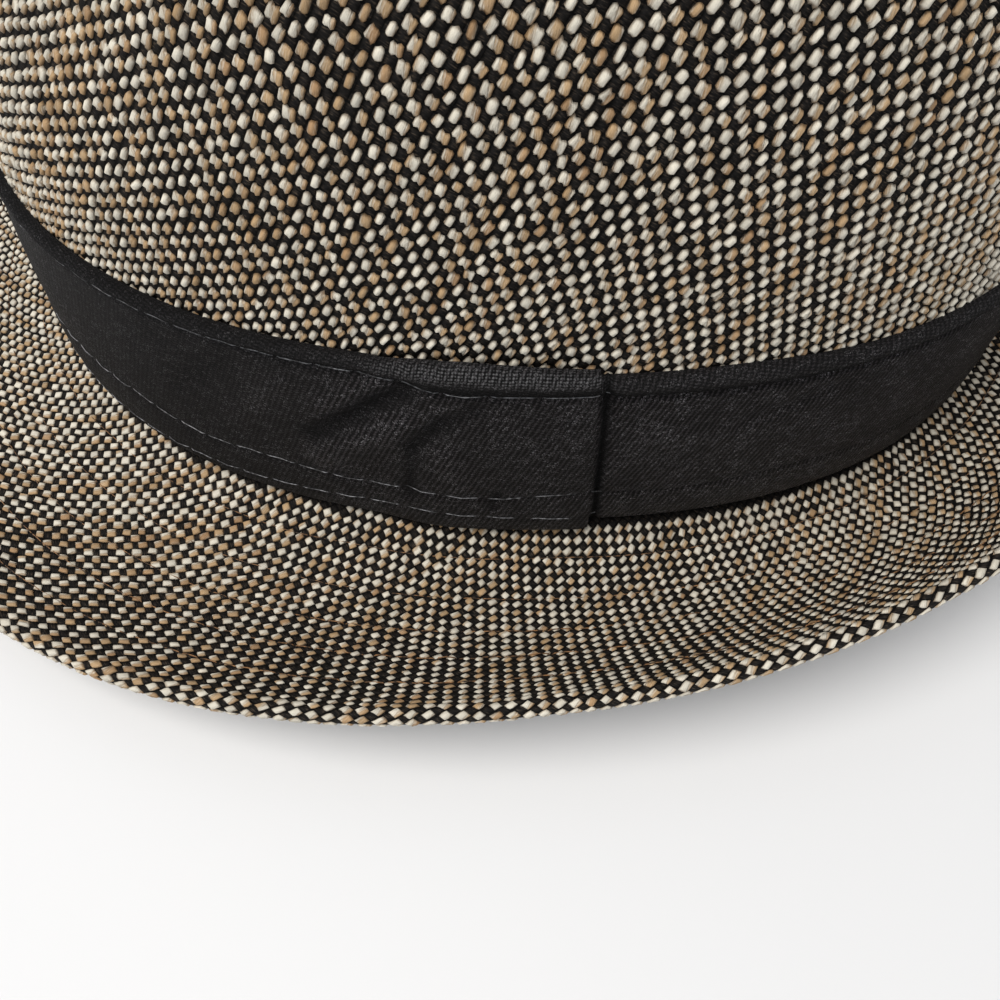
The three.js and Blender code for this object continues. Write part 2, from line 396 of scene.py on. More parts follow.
def pinch_inset(turn, height, inward):
    """The depth of the pinches: deeper with height, and fading towards the middle of the tip."""
    strength = sum(bell(turn_from(turn, pinch), PINCH_HALF_ANGLE) for pinch in PINCH_TURNS)
    deepening = smooth(PINCH_STARTS_AT, PINCH_FULL_AT, height)
    return PINCH_DEPTH * strength * deepening * (1 - smooth(0, PINCH_FADES_AT, inward))


def crown_point(turn, way):
    """The outside of the crown. The way up is 0 at the foot, 1 where the shoulder starts, 2 on the crest
    and 3 in the middle of the tip."""
    turn, way = np.broadcast_arrays(np.asarray(turn, float), np.asarray(way, float))
    crest = CREST_HEIGHT + CREST_RISE_TO_FRONT * np.cos(np.radians(turn))
    wall_height = np.minimum(way, 1) * (crest - SHOULDER_ROUND)
    bend = np.clip(way - 1, 0, 1) * math.pi / 2
    height = wall_height + SHOULDER_ROUND * np.sin(bend)
    inward = np.maximum(way - 2, 0)
    inset = wall_inset(wall_height) + SHOULDER_ROUND * (1 - np.cos(bend))
    inset = inset + pinch_inset(turn, height, inward)
    point = oval_point(turn, inset) * (1 - inward)[..., None]
    sunk = smooth(0, read_rows(TIP_SLOPES, "reach", turn), inward)
    crease = TIP_CREASE_DEPTH * sunk * bell(point[..., 0], TIP_CREASE_HALF_WIDTH)
    point[..., 2] = height + (TIP_FLOOR_HEIGHT - height) * sunk - crease
    return point


def brim_top(turn, reach):
    """The top of the brim, from -BRIM_MARGIN under the crown's wall to BRIM_WIDTH at the edge."""
    turn, reach = np.broadcast_arrays(np.asarray(turn, float), np.asarray(reach, float))
    outward = oval_outward(turn)
    point = oval_point(turn, 0)
    point[..., 2] = -GAP
    point = point + outward * np.minimum(reach, 0)[..., None]
    out = np.maximum(reach, 0)
    at_crown = np.radians(read_rows(BRIM_SLOPES, "at_crown", turn))
    at_edge = np.radians(read_rows(BRIM_SLOPES, "at_edge", turn))
    for step in range(SLOPE_STEPS):
        left = 1 - (step + 0.5) / SLOPE_STEPS * out / BRIM_WIDTH
        slope = at_crown + (at_edge - at_crown) * (1 - left * left)
        point = point + outward * (np.cos(slope) * out / SLOPE_STEPS)[..., None]
        point[..., 2] += np.sin(slope) * out / SLOPE_STEPS
    return point


def directions(surface, turn, way):
    """The unit directions onwards and straight out of a surface."""
    around = surface(turn + TURN_STEP, way) - surface(turn - TURN_STEP, way)
    onwards = surface(turn, way + WAY_STEP) - surface(turn, way - WAY_STEP)
    return unit(onwards), unit(np.cross(around, onwards))


def brim_under(turn, reach):
    """The underside of the brim below a point of its top."""
    _, inward = directions(brim_top, turn, np.maximum(reach, UNDER_READ_FROM))
    up = np.where((np.asarray(reach) <= 0)[..., None], STRAIGHT_UP, -inward)
    return brim_top(turn, reach) - BRIM_CLOTH * up


FRONT_REST = brim_under(np.array(0.0), np.array(BRIM_WIDTH))
BACK_REST = brim_under(np.array(180.0), np.array(0.0))
REST_TILT = math.atan2(BACK_REST[2] - FRONT_REST[2], BACK_REST[1] - FRONT_REST[1])


def tilted(point):
    """Tips the upright hat back on to the surface."""
    cos, sin = math.cos(REST_TILT), math.sin(REST_TILT)
    x, y, z = point[..., 0], point[..., 1], point[..., 2]
    return np.stack([x, y * cos + z * sin, z * cos - y * sin], -1)


REST_DROP = tilted(BACK_REST)[2] + PRESSED_FLAT
FRONT_EDGE = min(tilted(brim_top(0.0, BRIM_WIDTH))[1], tilted(FRONT_REST)[1])
REST_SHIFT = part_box("brim")[0].y / MM - FRONT_EDGE


def rest_place(point, lift=0.0):
    """A point of the upright hat at its place in the frame, raised by lift where the surface presses."""
    placed = tilted(point) + np.array([0.0, REST_SHIFT, -REST_DROP])
    placed[..., 2] = np.maximum(placed[..., 2] + lift, 0)
    return placed * MM


class Chart:
    """Values worked out once on an even grid of turns and ways, and read anywhere between them."""

    def __init__(self, turns, ways, values):
        self.start = (turns[0], ways[0])
        self.step = (turns[1] - turns[0], ways[1] - ways[0])
        self.values = values

    def read(self, turn, way):
        # The last cell is read up to just short of its end
        last_x, last_y = (count - 1.001 for count in self.values.shape)
        x = np.clip((turn - self.start[0]) / self.step[0], 0, last_x)
        y = np.clip((way - self.start[1]) / self.step[1], 0, last_y)
        i, j = x.astype(int), y.astype(int)
        x, y = x - i, y - j
        near = self.values[i, j] * (1 - y) + self.values[i, j + 1] * y
        far = self.values[i + 1, j] * (1 - y) + self.values[i + 1, j + 1] * y
        return near * (1 - x) + far * x


def press_needed(turn, reach):
    """How far a stiff brim would sink into the surface."""
    turn, reach = np.broadcast_arrays(turn, reach)
    heights = [tilted(brim_top(turn, reach))[..., 2], tilted(brim_under(turn, reach))[..., 2]]
    return np.maximum(0, REST_DROP - np.minimum(*heights))


WHOLE_TURN = np.linspace(-180, 180, 361)
REACHES = np.linspace(-BRIM_MARGIN, BRIM_WIDTH, PRESS_REACHES)
PRESS = Chart(WHOLE_TURN, REACHES, press_needed(WHOLE_TURN[:, None], REACHES[None, :]))


def press_lift(turn, reach):
    """How far the brim gives way to the surface below it."""
    return PRESS.read(turn_from(turn, 0), reach)


def foot_lift(turn, height):
    """The crown and the band give way to the brim below them, less and less with height."""
    return press_lift(turn, np.zeros_like(turn)) * (1 - smooth(0, LIFT_FADES_AT, height))


# A table of turns and mm round the foot, from the wearer's left towards the back
FOOT_TURNS = np.linspace(-200, 200, 4001)
FOOT_STEPS = np.linalg.norm(np.diff(oval_point(FOOT_TURNS, 0), axis=0), axis=1)
FOOT_ARCS = np.concatenate([[0], np.cumsum(FOOT_STEPS)])
FOOT_ARCS -= np.interp(90, FOOT_TURNS, FOOT_ARCS)


def arc_at(turn):
    """Mm round the foot at a turn."""
    return np.interp(turn, FOOT_TURNS, FOOT_ARCS)


def turn_at(arc):
    """The turn at some mm round the foot."""
    return np.interp(arc, FOOT_ARCS, FOOT_TURNS)


# ---------------------------------------------------------------------------------------------------
# The weave laid over the shape: u runs along its rows and v across them, a light yarn surfaces at each
# whole (u, v), and its next surfacing is at (u + 1, v + 1)
# ---------------------------------------------------------------------------------------------------

class CrownWeave:
    """The crown's side: flat cloth wrapped as a cone, with one seam at the back."""

    def __init__(self):
        ways = np.linspace(0, SEAM_WAY, CROWN_WAYS)
        grid = crown_point(WHOLE_TURN[:, None], ways[None, :])
        rises = np.linalg.norm(np.diff(grid, axis=1), axis=2)
        lengths = np.concatenate([np.zeros((len(rises), 1)), np.cumsum(rises, axis=1)], axis=1)
        self.lengths = Chart(WHOLE_TURN, ways, lengths)
        self.height = lengths.max()
        evenly = np.linspace(0, self.height, CROWN_LENGTHS)
        back = np.stack([np.interp(evenly, column, ways) for column in lengths])
        self.ways = Chart(WHOLE_TURN, evenly, back)
        self.top = lengths[:, -1]

    def lay(self, turn, way):
        """(u, v) of a place on the crown."""
        swing = arc_at(turn) / CONE_RADIUS
        radius = CONE_RADIUS - self.lengths.read(turn, way)
        across, up = radius * np.sin(swing), CONE_RADIUS - radius * np.cos(swing)
        cos, sin = math.cos(CROWN_WEAVE_ANGLE), math.sin(CROWN_WEAVE_ANGLE)
        return (across * cos + up * sin) / CROWN_COLUMN, (up * cos - across * sin) / CROWN_ROW

    def find(self, u, v):
        """(turn, mm up the crown) of a place in the weave."""
        cos, sin = math.cos(CROWN_WEAVE_ANGLE), math.sin(CROWN_WEAVE_ANGLE)
        along, beside = u * CROWN_COLUMN, v * CROWN_ROW
        across, up = along * cos - beside * sin, along * sin + beside * cos
        swing = np.arctan2(across, CONE_RADIUS - up)
        return turn_at(swing * CONE_RADIUS), CONE_RADIUS - np.hypot(across, CONE_RADIUS - up)

    def place(self, u, v, out):
        turn, length = self.find(u, v)
        turn = np.clip(turn, -SEWN_TURN, SEWN_TURN)
        length = np.minimum(length, np.interp(turn, WHOLE_TURN, self.top) - CROWN_YARNS_MARGIN / 2)
        way = self.ways.read(turn, length)
        return crown_place(turn, way, out - crown_dip(turn, way))


def back_dip(turn, deep):
    """How far cloth is drawn in at the seam at the back of the hat."""
    return deep * bell(180 - np.abs(turn), BACK_SEAM_TURNS)


def crown_dip(turn, way):
    """How far the crown's side is drawn in at its seams."""
    return back_dip(turn, CROWN_BACK_DIP) + TIP_SEAM_DIP * smooth(SEAM_WAY - SIDE_DIP_WAY, SEAM_WAY, way)


def tip_dip(way):
    """How far the tip is drawn in at its seam."""
    return TIP_SEAM_DIP * (1 - smooth(SEAM_WAY, SEAM_WAY + TIP_DIP_WAY, way))


def crown_place(turn, way, out):
    """A place on the crown, moved out of its surface, in the frame."""
    _, outward = directions(crown_point, turn, way)
    point = crown_point(turn, way)
    lift = foot_lift(turn, point[..., 2])
    return rest_place(point + outward * np.asarray(out)[..., None], lift)


class TipWeave:
    """The crown's tip: flat cloth pressed down into the hollow, its yarns at 45 degrees to the middle."""

    def __init__(self):
        shares = np.linspace(0, 3 - SEAM_WAY, TIP_WAYS)
        grid = crown_point(WHOLE_TURN[:, None], 3 - shares[None, :])
        radii = np.linalg.norm(grid[..., :2], axis=2)
        self.rim = radii[:, -1]
        evenly = np.linspace(0, 1, TIP_SHARES)
        back = [np.interp(evenly * column[-1], column, 3 - shares) for column in radii]
        self.ways = Chart(WHOLE_TURN, evenly, np.stack(back))

    def find(self, u, v):
        """(turn, share of the way from the middle to the seam) of a place in the weave."""
        x, y = (u - v) * CROWN_ROW / math.sqrt(2), (u + v) * CROWN_ROW / math.sqrt(2)
        radius = np.hypot(x, y)
        crest = crown_point(WHOLE_TURN, np.full(len(WHOLE_TURN), 2.0))
        bearings = np.unwrap(np.arctan2(crest[:, 1], crest[:, 0]))
        bearing = np.arctan2(y, x)
        bearing = bearings[0] + (bearing - bearings[0]) % (2 * math.pi)
        turn = np.interp(bearing, bearings, WHOLE_TURN)
        return turn, radius / np.interp(turn, WHOLE_TURN, self.rim)

    def lay(self, point):
        """(u, v) of a point of the tip."""
        x, y = point[..., 0], point[..., 1]
        scale = CROWN_ROW * math.sqrt(2)
        return (x + y) / scale, (y - x) / scale

    def place(self, u, v, out):
        turn, share = self.find(u, v)
        way = self.ways.read(turn, np.minimum(share, TIP_PLACES_TO))
        return tip_place(turn, way, out - tip_dip(way))


def tip_place(turn, way, out):
    """A place on the tip, moved straight out of its surface, in the frame."""
    _, outward = directions(crown_point, turn, np.minimum(way, TIP_READ_TO))
    return rest_place(crown_point(turn, way) + outward * np.asarray(out)[..., None])


class BrimWeave:
    """The brim: rows of light yarn round the crown, over the folded edge and back along the underside.
    strip is the way along that: out on the top, round the edge, and in again below."""

    def __init__(self):
        out = np.linspace(0, ROLL_START, BRIM_REACHES)
        rows = BRIM_ROWS_A_MM * out + BRIM_ROWS_CLOSING * out * out
        at_edge = BRIM_ROWS_A_MM + 2 * BRIM_ROWS_CLOSING * ROLL_START
        rolled = rows[-1] + at_edge * (ROLL_END - ROLL_START)
        self.strips = np.concatenate([out, ROLL_END + ROLL_START - out[::-1]])
        self.rows = np.concatenate([rows, rolled + rows[-1] - rows[::-1]])

    def drift(self, arc):
        """How many rows the weave has left the round by."""
        fade = BRIM_DRIFT_FADE
        return BRIM_DRIFT * np.where(arc < -fade, arc, np.where(
            arc > fade, 0, -((arc - fade) ** 2) / (4 * fade)))

    def lay(self, turn, strip):
        """(u, v) of a place on the brim."""
        arc = arc_at(turn)
        rows = np.interp(strip, self.strips, self.rows) + np.minimum(strip, 0) * BRIM_ROWS_A_MM
        return arc / BRIM_COLUMN, self.drift(arc) - rows

    def find(self, u, v):
        """(turn, strip) of a place in the weave."""
        arc = u * BRIM_COLUMN
        return turn_at(arc), np.interp(self.drift(arc) - v, self.rows, self.strips)

    def place(self, u, v, out):
        turn, strip = self.find(u, v)
        turn = np.clip(turn, -SEWN_TURN, SEWN_TURN)
        return brim_place(turn, strip, out - back_dip(turn, BRIM_BACK_DIP))


def brim_place(turn, strip, out):
    """A place on the brim's skin, along its strip and moved out of it, in the frame."""
    turn, strip, out = np.broadcast_arrays(np.asarray(turn, float), strip, out)
    reach = np.minimum(strip, ROLL_START) - np.maximum(strip - ROLL_END, 0)
    bend = np.clip((strip - ROLL_START) / ROLL_RADIUS, 0, math.pi)
    top = brim_top(turn, reach)
    onwards, inward = directions(brim_top, turn, np.maximum(reach, SKIN_READ_FROM))
    up = np.where((reach <= 0)[..., None], STRAIGHT_UP, -inward)
    swell = (ROLL_RADIUS - BRIM_CLOTH / 2) * smooth(ROLL_START - SWELL_LENGTH, ROLL_START, reach)
    groove = sum(bell(reach - seam, STITCH_GROOVE_HALF_WIDTH) for seam in BRIM_STITCH_REACHES)
    half = BRIM_CLOTH / 2 + swell - STITCH_GROOVE * groove + out
    middle = top - BRIM_CLOTH / 2 * up
    point = middle + half[..., None] * (np.cos(bend)[..., None] * up + np.sin(bend)[..., None] * onwards)
    return rest_place(point, press_lift(turn, reach))


CROWN_WEAVE = CrownWeave()
TIP_WEAVE = TipWeave()
BRIM_WEAVE = BrimWeave()


# ---------------------------------------------------------------------------------------------------
# Meshes
# ---------------------------------------------------------------------------------------------------

def make_piece(name, points, faces, material, replaces=(), maps=None, notes=None, sharp=None):
    """Builds a mesh object from points and arrays of faces, and gives it to the frame. maps are places in
    the cloth and notes are values for the material, one for each point."""
    corners = np.concatenate([part.ravel() for part in faces]).astype(np.int32)
    sizes = np.concatenate([np.full(len(part), part.shape[1]) for part in faces])
    mesh = bpy.data.meshes.new(name)
    mesh.vertices.add(len(points))
    mesh.vertices.foreach_set("co", np.ascontiguousarray(points, np.float32).ravel())
    mesh.loops.add(len(corners))
    mesh.loops.foreach_set("vertex_index", corners)
    mesh.polygons.add(len(sizes))
    mesh.polygons.foreach_set("loop_start", np.concatenate([[0], np.cumsum(sizes)[:-1]]).astype(np.int32))
    mesh.update(calc_edges=True)
    mesh.polygons.foreach_set("use_smooth", np.ones(len(sizes), bool))
    if sharp:
        mesh.set_sharp_from_angle(angle=math.radians(sharp))
    for label, values in (maps or {}).items():
        layer = mesh.uv_layers.new(name=label)
        layer.data.foreach_set("uv", np.ascontiguousarray(values[corners], np.float32).ravel())
    for label, values in (notes or {}).items():
        kind, field = ("FLOAT_VECTOR", "vector") if values.ndim == 2 else ("FLOAT", "value")
        note = mesh.attributes.new(label, kind, "POINT")
        note.data.foreach_set(field, np.ascontiguousarray(values, np.float32).ravel())
    mesh.validate()
    piece = bpy.data.objects.new(name, mesh)
    bpy.context.scene.collection.objects.link(piece)
    mesh.materials.append(material)
    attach(piece, "root")
    if replaces:
        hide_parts(*replaces)
    return piece


def strip_quads(ids):
    """Quads between neighbours of a grid of point numbers."""
    near, far = ids[:-1], ids[1:]
    return np.stack([near[:, :-1], far[:, :-1], far[:, 1:], near[:, 1:]], -1).reshape(-1, 4)


def wall(outer, inner, ring=False):
    """One closed wall between two grids of points, as points and quads. ring joins its two ends."""
    columns, rows = outer.shape[:2]
    points = np.concatenate([outer.reshape(-1, 3), inner.reshape(-1, 3)])
    out = np.arange(columns * rows).reshape(columns, rows)
    if ring:
        out = np.concatenate([out, out[:1]])
    back = out + columns * rows
    faces = [strip_quads(out), strip_quads(back)[:, ::-1]]
    faces.append(strip_quads(np.stack([back[:, 0], out[:, 0]], 1)))
    faces.append(strip_quads(np.stack([out[:, -1], back[:, -1]], 1)))
    if not ring:
        faces.append(strip_quads(np.stack([out[0], back[0]], 1))[:, ::-1][:, [1, 2, 3, 0]])
        faces.append(strip_quads(np.stack([back[-1], out[-1]], 1))[:, ::-1][:, [1, 2, 3, 0]])
    return points, faces


def tubes(lines, outward, radii, sides):
    """Closed tubes along many lines at once. lines and outward are (tubes, stations, 3)."""
    along = unit(np.gradient(lines, axis=1))
    beside = unit(np.cross(along, outward))
    up = np.cross(beside, along)
    angles = np.arange(sides) * 2 * math.pi / sides
    ring = np.cos(angles)[:, None] * up[:, :, None] + np.sin(angles)[:, None] * beside[:, :, None]
    points = lines[:, :, None] + ring * radii[:, :, None, None]
    count, stations = lines.shape[:2]
    ids = np.arange(count * stations * sides).reshape(count, stations, sides)
    there = np.roll(ids, -1, axis=2)
    quads = np.stack([ids[:, :-1], there[:, :-1], there[:, 1:], ids[:, 1:]], -1).reshape(-1, 4)
    ends = np.concatenate([ids[:, 0, ::-1], ids[:, -1]])
    return points.reshape(-1, 3), [quads[:, ::-1], ends[:, ::-1]]


# One surfacing of a light yarn, as (along, across, raised): pressed flat on the brim, and on the crown
# between a single ply on top and two side by side
FLAT_FORM = np.array([
    (1.00, 0.00, 0), (1.02, 0.90, 0), (0.00, 1.02, 0), (-0.90, 0.90, 0),
    (-1.00, 0.00, 0), (-1.02, -0.90, 0), (0.00, -1.02, 0), (0.90, -0.90, 0),
    (0.66, 0.56, 1), (-0.56, 0.54, 1), (-0.66, -0.56, 1), (0.56, -0.54, 1),
])
FLAT_FACES = np.array([
    (0, 1, 8), (1, 2, 8), (2, 9, 8), (2, 3, 9), (3, 4, 9), (4, 10, 9),
    (4, 5, 10), (5, 6, 10), (6, 11, 10), (6, 7, 11), (7, 0, 11), (0, 8, 11),
    (8, 9, 10), (8, 10, 11),
    (0, 2, 1), (0, 3, 2), (0, 4, 3), (0, 5, 4), (0, 6, 5), (0, 7, 6),
])
ONE_PLY_FORM = np.array([
    (1.02, 0.00, 0), (0.92, 0.50, 0), (0.56, 0.96, 0), (-0.56, 0.96, 0), (-0.92, 0.50, 0),
    (-1.02, 0.00, 0), (-0.92, -0.50, 0), (-0.56, -0.96, 0), (0.56, -0.96, 0), (0.92, -0.50, 0),
    (0.50, 0.46, 1), (-0.50, 0.46, 1), (-0.50, -0.46, 1), (0.50, -0.46, 1),
    (0.52, 0.00, 1.15), (-0.52, 0.00, 1.15),
])
TWO_PLY_FORM = np.array([
    (0.72, 0.00, 0), (1.06, 0.50, 0), (0.66, 0.97, 0), (-0.50, 0.97, 0), (-0.86, 0.50, 0),
    (-0.72, 0.00, 0), (-1.06, -0.50, 0), (-0.66, -0.97, 0), (0.50, -0.97, 0), (0.86, -0.50, 0),
    (0.56, 0.50, 1), (-0.36, 0.50, 1), (-0.56, -0.50, 1), (0.36, -0.50, 1),
    (0.42, 0.00, 0.3), (-0.42, 0.00, 0.3),
])
PLIED_FACES = np.array([
    (0, 1, 10), (0, 10, 14), (14, 10, 11), (14, 11, 15), (15, 11, 5), (5, 11, 4),
    (1, 2, 10), (2, 11, 10), (2, 3, 11), (3, 4, 11),
    (5, 6, 12), (5, 12, 15), (15, 12, 13), (15, 13, 14), (14, 13, 0), (0, 13, 9),
    (6, 7, 12), (7, 13, 12), (7, 8, 13), (8, 9, 13),
    (0, 2, 1), (0, 3, 2), (0, 5, 3), (5, 4, 3), (5, 7, 6), (5, 8, 7), (5, 0, 8), (0, 9, 8),
])

# The mean turn of the plies in radians, how much it differs from yarn to yarn and along one yarn, and how
# much the surfacings differ in length, width, height, outline, turn in degrees and place in the weave
PLY_PHASE = math.pi - 0.55
PHASE_BY_YARN = 0.8
PHASE_ALONG_YARN = 0.7
UNEVEN_LENGTH = 0.1
UNEVEN_WIDTH = 0.08
UNEVEN_HEIGHT = 0.15
UNEVEN_OUTLINE = 0.06
UNEVEN_TURN = 6
UNEVEN_PLACE = 0.03

# The width of a surfacing where its plies lie on top of each other, and what is added where they lie side
# by side, for plied ones and flat ones
PLIED_WIDTH = (0.84, 0.3)
FLAT_WIDTH = (0.94, 0.12)


def float_piece(name, u, v, place, pitch, size, sink, seed, plied=True):
    """Joins the surfacings of the light yarns at whole (u, v) into one piece. size is their length, width
    and height in mm and sink the depth of the dark yarns. Plied ones show their two plies in their form,
    and are broader where the plies lie side by side."""
    random = np.random.default_rng(seed)
    count = len(u)
    yarn = np.round(u - v).astype(int)
    offsets = random.normal(0, PHASE_BY_YARN, yarn.max() - yarn.min() + 1)
    phase = PLY_PHASE + offsets[yarn - yarn.min()] + random.normal(0, PHASE_ALONG_YARN, count)
    beside = np.cos(phase)[:, None] ** 2
    if plied:
        form = ONE_PLY_FORM + beside[..., None] * (TWO_PLY_FORM - ONE_PLY_FORM)
        faces = PLIED_FACES
        narrow, broader = PLIED_WIDTH
    else:
        form = np.broadcast_to(FLAT_FORM, (count, *FLAT_FORM.shape))
        faces = FLAT_FACES
        narrow, broader = FLAT_WIDTH
    broad = narrow + broader * beside
    ahead, aside, raised = form[..., 0], form[..., 1], form[..., 2]
    length = size[0] / 2 / pitch * random.normal(1, UNEVEN_LENGTH, count)[:, None]
    width = size[1] / 2 / pitch * broad * random.normal(1, UNEVEN_WIDTH, count)[:, None]
    turned = np.radians(random.normal(0, UNEVEN_TURN, count))[:, None]
    uneven = random.normal(1, UNEVEN_OUTLINE, ahead.shape)
    along, across = ahead * length * uneven, aside * width * uneven
    along, across = (along * np.cos(turned) - across * np.sin(turned),
                     along * np.sin(turned) + across * np.cos(turned))
    nudge = random.normal(0, UNEVEN_PLACE, (2, count, 1))
    points_u = u[:, None] + nudge[0] + (along - across) / math.sqrt(2)
    points_v = v[:, None] + nudge[1] + (along + across) / math.sqrt(2)
    foot = -sink - RIM_SINK
    rise = size[2] * random.normal(1, UNEVEN_HEIGHT, (count, 1)) - foot
    points = place(points_u, points_v, foot + rise * raised)
    faces = faces[None] + np.arange(count)[:, None, None] * form.shape[1]
    places = np.stack([aside, along * pitch, np.broadcast_to(phase[:, None], along.shape)], -1)
    tones = np.repeat(random.uniform(0, 1, count), form.shape[1])
    make_piece(name, points.reshape(-1, 3), [faces.reshape(-1, 3)], marled_yarn_material(),
               notes={"yarn_place": places.reshape(-1, 3), "yarn_tone": tones})


def whole_places(range_u, range_v):
    """All whole (u, v) in two ranges."""
    u, v = (np.arange(math.floor(low), math.ceil(high) + 1.0) for low, high in (range_u, range_v))
    u, v = np.meshgrid(u, v, indexing="ij")
    return u.ravel(), v.ravel()


# ---------------------------------------------------------------------------------------------------
# Shader nodes
# ---------------------------------------------------------------------------------------------------

class Graph:
    """Adds nodes to one node tree."""

    def __init__(self, tree):
        self.tree = tree

    def node(self, kind, feeds=None, **settings):
        made = self.tree.nodes.new(kind)
        for key, value in settings.items():
            setattr(made, key, value)
        for key, value in (feeds or {}).items():
            self.feed(made.inputs[key], value)
        return made

    def feed(self, socket, value):
        if isinstance(value, bpy.types.NodeSocket):
            self.tree.links.new(value, socket)
        elif socket.type == "VECTOR":
            socket.default_value = value[:3]
        else:
            socket.default_value = value

    def math(self, operation, *values):
        made = self.node("ShaderNodeMath", operation=operation)
        for socket, value in zip(made.inputs, values):
            self.feed(socket, value)
        return made.outputs[0]

    def plus(self, first, second):
        return self.math("ADD", first, second)

    def minus(self, first, second):
        return self.math("SUBTRACT", first, second)

    def times(self, first, second):
        return self.math("MULTIPLY", first, second)

    def over(self, first, second):
        return self.math("DIVIDE", first, second)

    def scaled(self, value, by, plus):
        return self.math("MULTIPLY_ADD", value, by, plus)

    def whole(self, value):
        return self.math("ROUND", value)

    def wave(self, turns):
        """A cosine wave with its crests at whole numbers."""
        return self.math("COSINE", self.times(turns, 2 * math.pi))

    def ramp(self, value, low, high, bottom=0.0, top=1.0):
        """Eases a value from one range to another."""
        made = self.node("ShaderNodeMapRange", interpolation_type="SMOOTHSTEP")
        for socket, amount in zip(made.inputs, (value, low, high, bottom, top)):
            self.feed(socket, amount)
        return made.outputs[0]

    def mix(self, share, first, second):
        """A colour between two colours, which are the node's sockets 6 and 7. It comes out at 2."""
        made = self.node("ShaderNodeMix", {0: share, 6: first, 7: second}, data_type="RGBA")
        return made.outputs[2]

    def tint(self, colour, strength):
        """A colour made lighter or darker by a strength around 1."""
        made = self.node("ShaderNodeVectorMath", {0: colour, "Scale": strength}, operation="SCALE")
        return made.outputs[0]

    def noise(self, vector, scale, detail=2.0, roughness=0.5):
        return self.node("ShaderNodeTexNoise", {
            "Vector": vector, "Scale": scale, "Detail": detail, "Roughness": roughness}).outputs["Fac"]

    def chance(self, x, y):
        """A number drawn for each pair of whole numbers."""
        return self.node("ShaderNodeTexWhiteNoise", {"Vector": self.join(x, y)},
                         noise_dimensions="2D").outputs["Value"]

    def split(self, vector):
        return self.node("ShaderNodeSeparateXYZ", {0: vector}).outputs

    def join(self, x, y, z=0.0):
        return self.node("ShaderNodeCombineXYZ", {0: x, 1: y, 2: z}).outputs[0]

    def note(self, label, output="Fac"):
        """Reads a note of the mesh."""
        return self.node("ShaderNodeAttribute", attribute_name=label).outputs[output]

    def group(self, tree, feeds):
        """Places a node group: its outputs by name."""
        made = self.node("ShaderNodeGroup", node_tree=tree)
        for key, value in feeds.items():
            self.feed(made.inputs[key], value)
        return made.outputs


def new_group(name, inputs, outputs):
    """An empty node group with named sockets: (graph, its inputs, its output node)."""
    tree = bpy.data.node_groups.new(name, "ShaderNodeTree")
    for label, kind, default in inputs:
        socket = tree.interface.new_socket(name=label, in_out="INPUT", socket_type=kind)
        if default is not None:
            socket.default_value = default
    for label, kind in outputs:
        tree.interface.new_socket(name=label, in_out="OUTPUT", socket_type=kind)
    graph = Graph(tree)
    entry = graph.node("NodeGroupInput").outputs
    leave = graph.node("NodeGroupOutput").inputs
    return graph, entry, leave


def built_once(build):
    """Keeps what a function builds, so that each group and material is made once."""
    kept = {}

    def get():
        if build.__name__ not in kept:
            kept[build.__name__] = build()
        return kept[build.__name__]
    return get


VECTOR, NUMBER, COLOUR = "NodeSocketVector", "NodeSocketFloat", "NodeSocketColor"
WHITE = (1, 1, 1, 1)

# Painted shade on the light yarn's flanks: a warm brown where it dives under the dark one, its strength,
# and where along and across the surfacing it begins and is full
RIM_SHADE_COLOUR = (0.15, 0.078, 0.03, 1)
RIM_SHADE_SHARE = 0.6
RIM_SHADE_ACROSS = (0.62, 1.0)
RIM_SHADE_ALONG = (0.5, 0.95)

# The brownish fibres on the dark yarn, and the lint on the cloth
DARK_FIBRE = (0.085, 0.062, 0.042, 1)
CLOTH_LINT = (0.3, 0.29, 0.27, 1)

# The band's painted glints where its fibres catch the light, the painted highlight on its hem's upper
# edge, and its lint
BAND_GLINT = (0.46, 0.44, 0.46, 1)
BAND_HEM_HIGHLIGHT = (0.26, 0.26, 0.265, 1)
BAND_LINT = (0.3, 0.29, 0.28, 1)

# The plain weave: how much narrower a yarn's round top is than its share of the cloth, and the distance
# between yarns in mm
YARN_NARROWED = 1.9
YARN_PITCH = 1.36

# The twill: how its ribs lean as shares of the way along and up, the length of a float in ribs, how far the
# next rib's floats are shifted, and the distances between the dots of the hem's turned edge in mm
RIB_ALONG = 0.93
RIB_UP = -0.36
FLOAT_LENGTH = 0.62
FLOAT_SHIFT = 0.37
DOT_PITCH_ALONG = 0.46
DOT_PITCH_UP = 0.5

# Heights of the bumps at full strength, in mm
YARN_BUMP = 0.2
WEAVE_BUMP = 0.35
TWILL_BUMP = 0.28
THREAD_BUMP = 0.08


